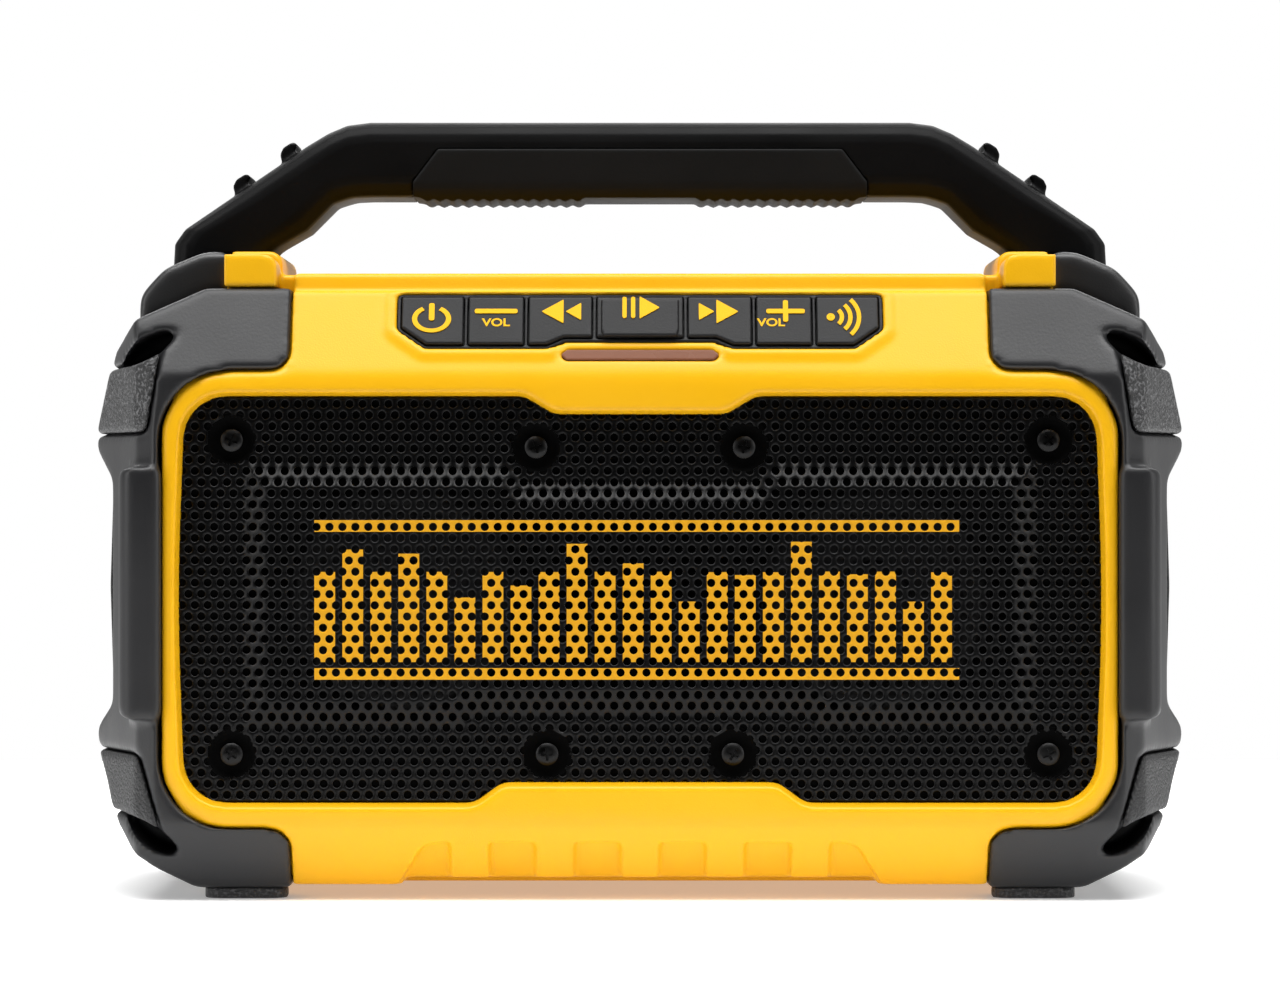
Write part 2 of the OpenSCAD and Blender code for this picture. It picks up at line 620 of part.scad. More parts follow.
module pad_pocket(zone) difference() { pad_zone(zone, 0); guard_envelope(pad_t); }
module bumper(zone) color(black) difference() {
  intersection() { guard_envelope(-pad_proud); pad_zone(zone, seam_gap); }
  guard_envelope(pad_t);
  lens_pockets();
}
grip_y = 31;
grip_zone = [ridge_lo + 31.5, ridge_hi - 26];
grip_out = 1.1;
grip_side = [[half_w + waist_out - pad_t, grip_zone[0], 0], [half_w + waist_out + 0.4, grip_zone[0], 0.8],
  [half_w + waist_out + grip_out, (grip_zone[0] + grip_zone[1]) / 2, 60], [half_w + waist_out + 0.4,
    grip_zone[1], 0.8],
  [half_w + waist_out - pad_t, grip_zone[1], 0]];
module side_grip() color(black) along_y(-grip_y, grip_y) shape(grip_side);
module guard() color(charcoal) difference() {
  union() {
    difference() {
      guard_envelope(0);
      front_back() along_y(-far, y_front + 12) shape(window, -seam_gap, 10);
    }
    guard_bars();
  }
  yellow_body();
  bar([-far, -far, -1], [tab_x + seam_gap, far, far]);
  bar([0, -tab_y - seam_gap, -1], [shoulder_x + seam_gap, tab_y + seam_gap, far]);
  pad_pocket(upper_zone);
  pad_pocket(lower_zone);
  bar([half_w + waist_out - pad_t, -grip_y - seam_gap, grip_zone[0] - seam_gap], [far,
    grip_y + seam_gap, grip_zone[1] + seam_gap]);
  lens_pockets();
}
foot_in = 1.5;
foot_w = half_w - 9 - tab_x;
foot_r = 0.4 * (tab_d - low_slope_run - 2 * foot_in);
foot_plan = [[tab_x + foot_in, -tab_y - foot_in, foot_r], [tab_x + foot_in,
  y_front + low_slope_run + foot_in, foot_r],
  [tab_x + foot_w, y_front + low_slope_run + foot_in, foot_r], [tab_x + foot_w, -tab_y - foot_in,
    foot_r]];
module feet() color(black) front_back() mirror_pair() along_z(0, foot_h)
  polygon(rounded([for (i = [3 : -1 : 0]) foot_plan[i]]));

// Handle shoulders
shoulder_y = 29;
shoulder_end = half_w + 8;
shoulder_front = [[shoulder_x, slope_top - 12, 0], [shoulder_end, slope_top - 12, 0], [shoulder_end,
  slope_top, 5],
  [shoulder_end - 6, shoulder_z - 4, 4], [shoulder_x + 6, shoulder_z, 3], [shoulder_x, shoulder_z, 0]];
module shoulder() color(charcoal) difference() {
  along_y(-shoulder_y, shoulder_y) shape(shoulder_front);
  yellow_body();
  guard_envelope(-0.02);
  pad_zone(upper_zone, -0.05);
}

// Handle: sections from a foot to the middle, each [outer point, inner point]
bar_z = handle_top - bar_t;
bend_x = 67;
arm_z = (shoulder_z + handle_top) / 2;
handle_half = [[[leg_out + 0.6, shoulder_z - 8], [boss_x + 3, shoulder_z - 5]],
  [[leg_out, shoulder_z + 2.5], [boss_x + 3.4, shoulder_z + 0.6]],
  [[leg_out - 2.5, shoulder_z + 6], [boss_x + 1.5, shoulder_z + 2]],
  [[leg_out - 17, arm_z + 0.05], [boss_x - 5, arm_z - 10.15]],
  [[bend_x + 13, handle_top - 5.6], [bend_x + 6.6, handle_top - 19.6]],
  [[bend_x + 8, handle_top - 2.6], [bend_x + 4.2, handle_top - 18.8]],
  [[bend_x + 3.5, handle_top - 0.7], [bend_x + 2, bar_z - 0.2]],
  [[bend_x - 2, handle_top], [bend_x - 2, bar_z]]];
handle_sections = concat(handle_half,
  [for (i = [len(handle_half) - 1 : -1 : 0]) [for (p = handle_half[i]) [-p.x, p.y]]]);
edge_r = 5;
function section(s, depth, r) =
  let (mid = (s[0] + s[1]) / 2, u = unit(s[0] - s[1]), a = norm(s[0] - s[1]) / 2, b = depth / 2)
  [for (p = rounded([[-a, -b, r], [a, -b, r], [a, b, r], [-a, b, r]], 4))
    [mid.x + u.x * p.x, p.y, mid.y + u.y * p.x]];
grip_top = bar_z + 11.4;
grip_web = 3;
grip_proud = 0.6;
module handle_solid() loft([for (s = handle_sections) section(s, handle_d, edge_r)]);
spine = handle_d / 2 - grip_web;
module spine_space(e) bar([-far, -spine + e, bar_z + grip_web + e], [far, spine - e, far]);
grip_end = 6;
ridge_h = 0.9;
ridge_n = floor((grip_half - 14) / ridge_pitch);
function ridge_run(x0, way) = [for (k = [0 : ridge_n * 4]) [x0 + way * k * ridge_pitch / 4,
  bar_z - grip_proud - ridge_h * abs(sin(k * 45)) + 0.3, 0]];
grip_line = concat([[-grip_half, bar_z - grip_proud + 0.6, 0]], ridge_run(-grip_half + 2, 1),
  [for (k = [ridge_n * 4 : -1 : 0]) ridge_run(grip_half - 2, -1)[k]], [[grip_half,
    bar_z - grip_proud + 0.6, 0],
  [grip_half, bar_z + 3.5, 0], [grip_half - grip_end, grip_top, 0], [-grip_half + grip_end, grip_top,
    0], [-grip_half, bar_z + 3.5, 0]]);
grip_pocket = mirrored_x([[grip_half, bar_z - 5, 0], [grip_half, bar_z + 3.5, 0],
  [grip_half - grip_end, grip_top, 0]]);
grip_section = mirrored_x([[handle_d / 2 + grip_proud, bar_z - 5, 0], [handle_d / 2 + grip_proud,
  far / 2, 0]]);
grip_round = [[-handle_d / 2 - grip_proud, bar_z - grip_proud - 1.2, 5], [handle_d / 2 + grip_proud,
  bar_z - grip_proud - 1.2, 5],
  [handle_d / 2 + grip_proud, grip_top, 0], [-handle_d / 2 - grip_proud, grip_top, 0]];
module handle_grip() color(black) difference() {
  intersection() {
    along_y(-far, far) polygon([for (p = grip_line) flat(p)]);
    along_x(-far, far) shape(grip_round);
  }
  spine_space(0);
}
hook_at = [17.5, 31.2];
hook_w = 20;
hook = [[-3.6, -1.5, 0], [1.4, -1.5, 0], [0.9, 1.1, 0], [2.6, 1.5, 0.5], [2.4, 3, 0.8], [-0.6, 3.2, 1],
  [-2.3, 2.2, 1]];
slope_dir = unit([bend_x + 13, handle_top - 5.6] - [leg_out - 2.5, shoulder_z + 6]);
module hooks() mirror_pair() for (d = hook_at) let (at = [leg_out - 2.5, shoulder_z + 6] + d * slope_dir)
  translate([at.x, 0, at.y]) rotate([0, -atan2(slope_dir.y, slope_dir.x), 0]) mirror([0, 0, 1])
    along_y(-hook_w / 2, hook_w / 2)
    polygon(rounded(hook, 3));
module handle() color(black) difference() {
  union() { handle_solid(); hooks(); }
  mirror_pair() along_y(-far, far) shape(shoulder_front);
  bar([-far, -far, -1], [far, far, z_top + 1]);
  mirror_pair() bar([boss_x, -far, z_top], [shoulder_x + 1, far, shoulder_z]);
  difference() { along_y(-far, far) shape(grip_pocket); spine_space(0); }
  for (p = handle_screw_at) translate([p.x, p.y, z_top - 5]) cylinder(d = long_d - pilot,
    h = shoulder_z - z_top + 12);
}
roof_in = z_top - guard_t - wall;
module handle_screws() color("silver") for (p = handle_screw_at) {
  translate([p.x, p.y, screw_seat - 2]) cylinder(d = well_d, h = 2);
  translate([p.x, p.y, screw_seat - 0.1]) cylinder(d = long_d - pilot, h = shoulder_z - screw_seat + 6);
}
screw_seat = roof_in + 1;

// Drivers
flange_t = 1.5;
coil_r = 8;
coil_t = 0.8;
plate_h = 1.5;
surround_r = driver_d / 2 - 5;
cone_r = surround_r - 6;
basket_r = magnet_d / 2 - 3;
back_y = flange_t + basket_h;
module at_driver(s) translate([s * driver_x, ledge_y, opening_z]) rotate([-90, 0, 0]) children();
module driver_frame(s) color("dimgray") at_driver(s) difference() {
  rotate_extrude() polygon([[hole_r - 2, 0], [driver_d / 2, 0], [driver_d / 2, flange_t], [hole_r,
    flange_t],
    [basket_r, back_y], [coil_r + coil_t + 0.6, back_y], [coil_r + coil_t + 0.6, back_y - plate_h],
      [basket_r - 1, back_y - plate_h]]);
  for (a = [45 : 90 : 315]) rotate(a) translate([driver_d / 2 - 2, 0, -1]) cylinder(d = screw_d,
    h = flange_t + 2);
  for (a = [0 : 60 : 300]) rotate(a) translate([hole_r / 2 + 4, -4, flange_t + 2]) cube([far, 8,
    basket_h - plate_h - 4]);
}
module driver_magnet(s) color("gray") at_driver(s) difference() {
  translate([0, 0, back_y]) cylinder(d = magnet_d, h = magnet_h);
  translate([0, 0, back_y - 1]) difference() {
    cylinder(r = coil_r + coil_t + 0.4, h = magnet_h - 2);
    translate([0, 0, -1]) cylinder(r = coil_r - 0.4, h = magnet_h);
  }
}
module driver_surround(s) color(black) at_driver(s) rotate_extrude() polygon(concat(
  [[surround_r, 0], [hole_r - 0.3, 0], [hole_r - 0.3, -0.8], [surround_r + 0.2, -0.8]],
  [for (a = [0 : 30 : 180]) [surround_r - 3 + 3.2 * cos(a), -0.8 - 2.4 * sin(a)]], [[cone_r, -0.8],
    [cone_r, 0], [cone_r + 0.6, 0]],
  [for (a = [180 : -30 : 0]) [surround_r - 3 + 2.4 * cos(a), -0.2 - 1.8 * sin(a)]]));
module driver_cone(s) color(black) at_driver(s) rotate_extrude() polygon(concat(
  [[cone_r + 0.6, 0.1], [cone_r + 0.6, 0.7], [cone_r - 0.4, 0.7], [coil_r + coil_t, back_y - 4],
    [coil_r + coil_t, back_y + 3], [coil_r, back_y + 3],
   [coil_r, back_y - 5]], [for (a = [0 : 15 : 90]) [coil_r * cos(a), back_y - 6.5 - 3.5 * sin(a)]],
  [for (a = [90 : -15 : 0]) [(coil_r + 0.8) * cos(a), back_y - 7.2 - 3.5 * sin(a)]], [[cone_r - 1,
    0.1]]));
module left_driver_frame() driver_frame(-1);
module right_driver_frame() driver_frame(1);
module left_driver_magnet() driver_magnet(-1);
module right_driver_magnet() driver_magnet(1);
module left_driver_surround() driver_surround(-1);
module right_driver_surround() driver_surround(1);
module left_driver_cone() driver_cone(-1);
module right_driver_cone() driver_cone(1);
module driver_screws() color("silver") for (s = [-1, 1]) at_driver(s) for (a = [45 : 90 : 315]) rotate(a)
  translate([driver_d / 2 - 2, 0, 0]) {
    translate([0, 0, flange_t]) cylinder(d = 4, h = 1.4);
    translate([0, 0, -3]) cylinder(d = screw_d - 2 * pilot, h = flange_t + 3.1);
  }

// Battery bay
module battery_bay() color(black) difference() {
  intersection() {
    bay_space(bay_t);
    union() { body_envelope(0); }
  }
  difference() {
    bay_space(0);
    mirror_pair() {
      bar([bay_x - rail_in, rail_y, bay_z - 1], [bay_x + 1, rail_y + rail_t, rail_top]);
      bar([bay_x - rail_in - 3, bay_y - 1, bay_z - 1], [bay_x + 1, bay_y + 4, rail_top - 20]);
    }
  }
}
block_w = 46;
block_d = 12;
block_h = 14;
blade_n = 5;
blade_pitch = 8;
module terminal_block() color(black) difference() {
  bar([-block_w / 2, bay_y + 4 - 4, bay_z], [block_w / 2, bay_y + block_d, bay_z + block_h]);
  for (i = [0 : blade_n - 1]) blade(i, 0.05);
}
module blade(i, e) translate([(i - (blade_n - 1) / 2) * blade_pitch - 0.5 - e, bay_y + 3 - e,
  bay_z + 6 - e]) cube([1 + 2 * e, 6 + 2 * e, block_h + 4]);
module battery_contacts() color("gold") for (i = [0 : blade_n - 1]) blade(i, 0);

// Electronics and fasteners inside
main_h = 60;
main_w = 116;
module main_board() color("darkgreen") difference() {
  bar([-main_w / 2, board_y, bay_z + 16], [main_w / 2, board_y + board_t, bay_z + 16 + main_h]);
  for (p = board_at) peg([p.x, board_y - 1, p.y], screw_d + 0.4, 5);
}
module board_screws() color("silver") for (p = board_at) {
  peg([p.x, board_y - 1.6, p.y], head_d, 1.6);
  peg([p.x, board_y - 0.1, p.y], screw_d - pilot, 8);
}
module housing_screws() color("silver") for (p = post_at) {
  peg([p.x, y_part + well_floor, p.y], well_d - 0.6, 2.5);
  peg([p.x, y_part + well_floor - long_l + 6, p.y], long_d - pilot, long_l - 6);
}

// Ports
aux_x = port_x - 12;
usb_x = port_x - 0.5;
inlet_x = port_x + 11.5;
module jack_cuts() {
  peg([aux_x, 0, port_z], 8.4, far);
  peg([inlet_x, 0, port_z], 10.4, far);
  bar([usb_x - 7.4, 0, port_z - 4], [usb_x + 7.4, far, port_z + 4]);
}
module port_plate() color(black) difference() {
  bar([port_x - port_w / 2, socket_y - plate_t, port_z - port_h / 2], [port_x + port_w / 2, socket_y,
    port_z + port_h / 2]);
  peg([aux_x, 0, port_z], 6.1, far);
  peg([inlet_x, 0, port_z], 8.1, far);
  bar([usb_x - 6.8, 0, port_z - 3.3], [usb_x + 6.8, far, port_z + 3.3]);
}
module audio_jack() color(black) difference() {
  union() {
    peg([aux_x, socket_y - plate_t - 12, port_z], 8, 12);
    peg([aux_x, socket_y - plate_t - 1, port_z], 6, plate_t + 1);
  }
  peg([aux_x, socket_y - 12, port_z], aux_d, 13);
}
module usb_port() color("silver") difference() {
  bar([usb_x - 6.8, socket_y - 14, port_z - 3.3], [usb_x + 6.8, socket_y, port_z + 3.3]);
  difference() {
    bar([usb_x - 6.2, socket_y - 13, port_z - 2.6], [usb_x + 6.2, socket_y + 1, port_z + 2.6]);
    bar([usb_x - 5.6, socket_y - 14, port_z + 0.2], [usb_x + 5.6, socket_y - 1, port_z + 2]);
  }
}
module power_inlet() color(black) {
  difference() {
    union() {
      peg([inlet_x, socket_y - plate_t - 12, port_z], 10, 12);
      peg([inlet_x, socket_y - plate_t - 1, port_z], 8, plate_t + 1);
    }
    peg([inlet_x, socket_y - 11, port_z], 5.7, 12);
  }
  peg([inlet_x, socket_y - 12, port_z], 2, 11);
}
cover_back = y_rear - cover_t;
module port_cover() color(charcoal) {
  intersection() {
    union() {
      bar([port_x - port_w / 2 + fit, cover_back, port_z - port_h / 2 + fit], [hinge_x, y_rear,
        port_z + port_h / 2 - fit]);
      translate([hinge_x, hinge_y, port_z - port_h / 2 + fit]) cylinder(r = hinge_r,
        h = port_h - 2 * fit);
    }
    bar([-far, -far, 0], [far, y_rear, far]);
  }
  translate([hinge_x, hinge_y, port_z - port_h / 2 - pin_l]) cylinder(d = pin_d, h = port_h + 2 * pin_l);
}

module left_guard() mirror([1, 0, 0]) guard();
module right_guard() guard();
module left_upper_bumper() mirror([1, 0, 0]) bumper(upper_zone);
module right_upper_bumper() bumper(upper_zone);
module left_lower_bumper() mirror([1, 0, 0]) bumper(lower_zone);
module right_lower_bumper() bumper(lower_zone);
module left_side_grip() mirror([1, 0, 0]) side_grip();
module right_side_grip() side_grip();
module left_handle_shoulder() mirror([1, 0, 0]) shoulder();
module right_handle_shoulder() shoulder();

front_shell();
rear_shell();
housing_seal();
grille();
grille_screws();
baffle();
key_frame();
power_key();
volume_down_key();
previous_key();
play_key();
next_key();
volume_up_key();
pairing_key();
key_board();
dome_switches();
light_bar();
left_guard();
right_guard();
left_upper_bumper();
left_lower_bumper();
right_upper_bumper();
right_lower_bumper();
left_side_grip();
right_side_grip();
left_handle_shoulder();
right_handle_shoulder();
feet();
handle();
handle_grip();
handle_screws();
left_driver_frame();
left_driver_magnet();
left_driver_surround();
left_driver_cone();
right_driver_frame();
right_driver_magnet();
right_driver_surround();
right_driver_cone();
driver_screws();
battery_bay();
terminal_block();
battery_contacts();
main_board();
board_screws();
housing_screws();
port_plate();
audio_jack();
usb_port();
power_inlet();
port_cover();
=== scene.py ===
# %% [markdown]
# A rugged portable speaker: a yellow moulded housing in dark rubber guards, with a perforated steel
# grille, a sloped key pad and a carry handle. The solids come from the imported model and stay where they
# are. This lesson dresses them: soft edges, a real perforated sheet, key symbols, and a finish for each
# surface.

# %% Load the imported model
import json
import math
import bpy
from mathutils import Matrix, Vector


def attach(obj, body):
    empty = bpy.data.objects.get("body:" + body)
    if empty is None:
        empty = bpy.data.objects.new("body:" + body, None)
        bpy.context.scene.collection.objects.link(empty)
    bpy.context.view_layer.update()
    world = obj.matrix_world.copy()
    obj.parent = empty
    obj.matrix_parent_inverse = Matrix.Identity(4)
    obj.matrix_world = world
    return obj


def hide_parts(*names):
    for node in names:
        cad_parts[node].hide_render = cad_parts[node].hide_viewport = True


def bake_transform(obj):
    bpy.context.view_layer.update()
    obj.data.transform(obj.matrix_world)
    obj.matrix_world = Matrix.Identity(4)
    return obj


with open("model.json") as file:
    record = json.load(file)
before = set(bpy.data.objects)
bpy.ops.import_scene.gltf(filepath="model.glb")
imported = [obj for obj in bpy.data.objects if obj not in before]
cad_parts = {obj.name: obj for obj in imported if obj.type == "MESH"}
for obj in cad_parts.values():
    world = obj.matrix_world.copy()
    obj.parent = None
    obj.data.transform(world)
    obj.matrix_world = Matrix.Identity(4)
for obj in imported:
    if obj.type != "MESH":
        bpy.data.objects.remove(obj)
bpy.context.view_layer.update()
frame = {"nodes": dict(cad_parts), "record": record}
nodes = frame["nodes"]
MM = 0.001
OPENING_Z = 70.05 * MM

# %% [markdown]
# Every operator works on what is selected and active, so the first helpers choose one object, go in and
# out of edit mode, and apply a modifier. A finished piece keeps its place in its mesh.

# %% Helpers for choosing, editing and applying
def choose(piece):
    bpy.ops.object.select_all(action="DESELECT")
    piece.select_set(True)
    bpy.context.view_layer.objects.active = piece
    return piece


def edit_all(mode="VERT"):
    bpy.ops.object.mode_set(mode="EDIT")
    bpy.ops.mesh.select_mode(type=mode)
    bpy.ops.mesh.select_all(action="SELECT")


def leave_edit():
    bpy.ops.object.mode_set(mode="OBJECT")


def select_where(piece, test, mode="VERT"):
    leave_edit()
    mesh = piece.data
    for group in (mesh.vertices, mesh.edges, mesh.polygons):
        group.foreach_set("select", [False] * len(group))
    if mode == "VERT":
        for v in mesh.vertices:
            v.select = test(v.co)
    else:
        for face in mesh.polygons:
            face.select = test(face)
    bpy.ops.object.mode_set(mode="EDIT")
    bpy.ops.mesh.select_mode(type=mode)


def apply_modifier(piece, kind, **settings):
    choose(piece)
    step = piece.modifiers.new(kind.lower(), kind)
    for key, value in settings.items():
        setattr(step, key, value)
    bpy.ops.object.modifier_apply(modifier=step.name)


def settle(piece):
    choose(piece)
    bpy.ops.object.transform_apply(location=True, rotation=True, scale=True)


def smooth(piece, angle=35):
    choose(piece)
    bpy.ops.object.shade_smooth_by_angle(angle=math.radians(angle))


def triangles(piece):
    return sum(len(f.vertices) - 2 for f in piece.data.polygons)


def own_copy(model, name):
    piece = model.copy()
    piece.data = model.data.copy()
    piece.name = name
    piece.data.name = name
    bpy.context.collection.objects.link(piece)
    return piece


def named_active(name):
    piece = bpy.context.view_layer.objects.active
    piece.name = name
    piece.data.name = name
    return piece

# %% [markdown]
# A copy of a solid's mesh is loose triangles. Merging its doubles and dissolving the flat edges gives
# whole faces again. From there a mould's soft edge can be made in two ways. A bevel rounds every edge
# sharper than a set angle by the same width, which suits crisp plastic. A voxel remesh followed by
# smoothing melts all edges together, which suits thick rubber.

# %% Helpers for copying a solid and softening its edges
def copy_of(node, name, weld=0.001):
    piece = bpy.data.objects.new(name, nodes[node].data.copy())
    piece.data.name = name
    bpy.context.collection.objects.link(piece)
    piece.data.materials.clear()
    choose(piece)
    edit_all()
    bpy.ops.mesh.remove_doubles(threshold=weld * MM)
    bpy.ops.mesh.dissolve_limited(angle_limit=math.radians(0.4))
    leave_edit()
    return piece


def body_of_node(node):
    for body, members in frame["record"]["behaviour"]["bodies"].items():
        if node in members:
            return body


def dress(piece, node, finish):
    piece.data.materials.clear()
    piece.data.materials.append(finish)
    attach(piece, body_of_node(node))
    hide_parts(node)


def rounded_copy(node, width, finish, segments=2, angle=30, weld=0.06):
    piece = copy_of(node, "dressed_" + node, weld)
    apply_modifier(piece, "BEVEL", width=width * MM, segments=segments, limit_method="ANGLE",
                   angle_limit=math.radians(angle), use_clamp_overlap=False, miter_outer="MITER_ARC")
    smooth(piece)
    dress(piece, node, finish)
    return piece


def melted_copy(node, voxel, rounds, keep, finish, reshape=None):
    piece = copy_of(node, "dressed_" + node)
    apply_modifier(piece, "REMESH", mode="VOXEL", voxel_size=voxel * MM)
    apply_modifier(piece, "SMOOTH", factor=0.5, iterations=rounds)
    if reshape:
        reshape(piece)
    apply_modifier(piece, "DECIMATE", ratio=keep)
    smooth(piece, 60)
    dress(piece, node, finish)
    return piece


slot_of = {part["node"]: part["material_slot"] for part in frame["record"]["subparts"]}

# %% [markdown]
# Finishes. Each one starts from the piece's own coordinates in metres, so a scale of 1000 draws marks of
# about a millimetre. Two tones mixed by a soft noise keep a surface from being one flat colour, and a
# fine noise in the bump gives the grain of the mould.

# %% Helpers for finishes
def start_finish(name, rough, metal=0.0):
    finish = bpy.data.materials.new(name)
    finish.use_nodes = True
    tree = finish.node_tree
    shader = tree.nodes["Principled BSDF"]
    shader.inputs["Roughness"].default_value = rough
    shader.inputs["Metallic"].default_value = metal
    return finish, tree, shader, tree.nodes.new("ShaderNodeTexCoord").outputs["Object"]


def noise(tree, where, scale, detail=3.0):
    node = tree.nodes.new("ShaderNodeTexNoise")
    node.inputs["Scale"].default_value = scale
    node.inputs["Detail"].default_value = detail
    tree.links.new(where, node.inputs["Vector"])
    return node.outputs["Fac"]


def two_tone(tree, factor, first, second):
    mix = tree.nodes.new("ShaderNodeMix")
    mix.data_type = "RGBA"
    for socket, colour in ((mix.inputs[6], first), (mix.inputs[7], second)):
        if isinstance(colour, tuple):
            socket.default_value = (*colour, 1)
        else:
            tree.links.new(colour, socket)
    tree.links.new(factor, mix.inputs[0])
    return mix.outputs[2]


def between(tree, value, low, high, to_low, to_high):
    node = tree.nodes.new("ShaderNodeMapRange")
    for key, number in (("From Min", low), ("From Max", high), ("To Min", to_low), ("To Max", to_high)):
        node.inputs[key].default_value = number
    tree.links.new(value, node.inputs["Value"])
    return node.outputs["Result"]


def bump(tree, height, depth, strength, normal=None):
    node = tree.nodes.new("ShaderNodeBump")
    node.inputs["Distance"].default_value = depth
    node.inputs["Strength"].default_value = strength
    tree.links.new(height, node.inputs["Height"])
    if normal:
        tree.links.new(normal, node.inputs["Normal"])
    return node.outputs["Normal"]


def calc(tree, kind, a, b=0.0, c=0.0):
    node = tree.nodes.new("ShaderNodeMath")
    node.operation = kind
    for socket, value in zip(node.inputs, (a, b, c)):
        if isinstance(value, (int, float)):
            socket.default_value = value
        else:
            tree.links.new(value, socket)
    return node.outputs[0]


def within(tree, value, low, high):
    above = calc(tree, "GREATER_THAN", value, low)
    return calc(tree, "MULTIPLY", above, calc(tree, "LESS_THAN", value, high))


def moulded(name, dark, light, rough, shine=0.4, grain=1800, depth=0.00012, strength=0.25, edge_highlight=None):
    finish, tree, shader, where = start_finish(name, rough)
    shader.inputs["Specular IOR Level"].default_value = shine
    soft = noise(tree, where, 38, 4)
    fine = noise(tree, where, grain, 2)
    colour = two_tone(tree, soft, dark, light)
    # Sharp edges found by pointiness are painted paler: a painted highlight on the rounded edges.
    if edge_highlight:
        edge = tree.nodes.new("ShaderNodeNewGeometry").outputs["Pointiness"]
        edge_highlight_mask = between(tree, edge, 0.53, 0.62, 0.0, 0.55)
        colour = two_tone(tree, edge_highlight_mask, colour, edge_highlight)
    tree.links.new(colour, shader.inputs["Base Color"])
    tree.links.new(between(tree, soft, 0.3, 0.7, rough - 0.05, rough + 0.06), shader.inputs["Roughness"])
    tree.links.new(bump(tree, fine, depth, strength), shader.inputs["Normal"])
    return finish

# %% [markdown]
# The housing is a glossy yellow plastic. The guards are moulded over it in dark rubber, whose raised edges
# are painted paler, a painted highlight where their rounding would catch the light; the shoulders and keys
# get the same painted highlight. The handle is a smooth black plastic that shows little but its edges.
# Light that bounces between pieces makes black look grey, so these bases are very dark.

# %% Moulded plastics and rubbers
YELLOW = moulded("yellow_moulding", (0.79, 0.405, 0.003), (0.85, 0.445, 0.005), 0.38, 0.3, grain=2600)
GUARD = moulded("guard_overmould", (0.009, 0.009, 0.0099), (0.0135, 0.0135, 0.0146), 0.42, 0.42, grain=1500,
                edge_highlight=(0.03, 0.03, 0.031))
SHOULDER = moulded("shoulder_moulding", (0.006, 0.006, 0.0063), (0.010, 0.010, 0.0105), 0.42, 0.65,
                   edge_highlight=(0.03, 0.03, 0.031))
HANDLE = moulded("handle_moulding", (0.0016, 0.0016, 0.0017), (0.003, 0.003, 0.0032), 0.45, 0.1)
GRIP = moulded("soft_grip", (0.0025, 0.0025, 0.0025), (0.0045, 0.0045, 0.0045), 0.58, 0.14, grain=1200,
               strength=0.35)
KEY = moulded("key_silicone", (0.009, 0.009, 0.0095), (0.014, 0.014, 0.0145), 0.42, 0.23, grain=2200,
              edge_highlight=(0.03, 0.03, 0.031))
INNER = moulded("inner_black", (0.0008, 0.0008, 0.0008), (0.0015, 0.0015, 0.0015), 0.7, 0.04)
BAY = moulded("bay_moulding", (0.012, 0.012, 0.013), (0.020, 0.020, 0.021), 0.5)
SEAL = moulded("seal_rubber", (0.006, 0.006, 0.006), (0.011, 0.011, 0.011), 0.7)
BOARD = moulded("solder_mask", (0.008, 0.09, 0.03), (0.012, 0.13, 0.05), 0.35, grain=500)
LAMP = moulded("lamp_lens", (0.17, 0.066, 0.036), (0.22, 0.090, 0.052), 0.3, 0.15, grain=3000, strength=0.1)
SYMBOL = moulded("symbol_paint", (0.80, 0.42, 0.003), (0.88, 0.48, 0.005), 0.5, 0.15, grain=2600)
print("finishes", len(bpy.data.materials))

# %% [markdown]
# Screws, sockets and contacts are metal. A metal takes its colour from what it reflects, so its tone and
# its roughness vary together in small patches, as a plated surface does.

# %% Metals
def metal(name, dark, light, rough, metallic=1.0):
    finish, tree, shader, where = start_finish(name, rough, metallic)
    soft = noise(tree, where, 300, 5)
    tree.links.new(two_tone(tree, soft, dark, light), shader.inputs["Base Color"])
    tree.links.new(between(tree, soft, 0.3, 0.7, rough - 0.08, rough + 0.1), shader.inputs["Roughness"])
    tree.links.new(bump(tree, noise(tree, where, 2500, 2), 0.00005, 0.2), shader.inputs["Normal"])
    return finish


STEEL = metal("plated_steel", (0.45, 0.45, 0.46), (0.62, 0.62, 0.63), 0.32)
BLACK_SCREW = metal("black_oxide", (0.012, 0.012, 0.012), (0.028, 0.028, 0.028), 0.32)
CONTACT = metal("plated_contact", (0.62, 0.42, 0.16), (0.78, 0.56, 0.25), 0.3)
print("metals", STEEL.name, BLACK_SCREW.name, CONTACT.name)

# %% [markdown]
# Under the keys the housing has a pocket that is lined with black silicone. The lining is only seen as a
# dark line in the gaps, so it is not modelled: the yellow turns black where a point lies inside the
# pocket. The place is measured along the slope that carries the keys, up it and out of it.

# %% Black lining of the key pocket
SLOPE_BACK, SLOPE_UP = 11, 20
TILT = math.atan2(SLOPE_BACK, SLOPE_UP)
SLOPE_Y, SLOPE_Z = -61 * MM, 121.8 * MM
POCKET_HALF = 57 * MM
POCKET_LOW, POCKET_HIGH = 7.2 * MM, 22.3 * MM
POCKET_FLOOR, POCKET_LIP = -12 * MM, -0.5 * MM
LINING = (0.022, 0.022, 0.023)


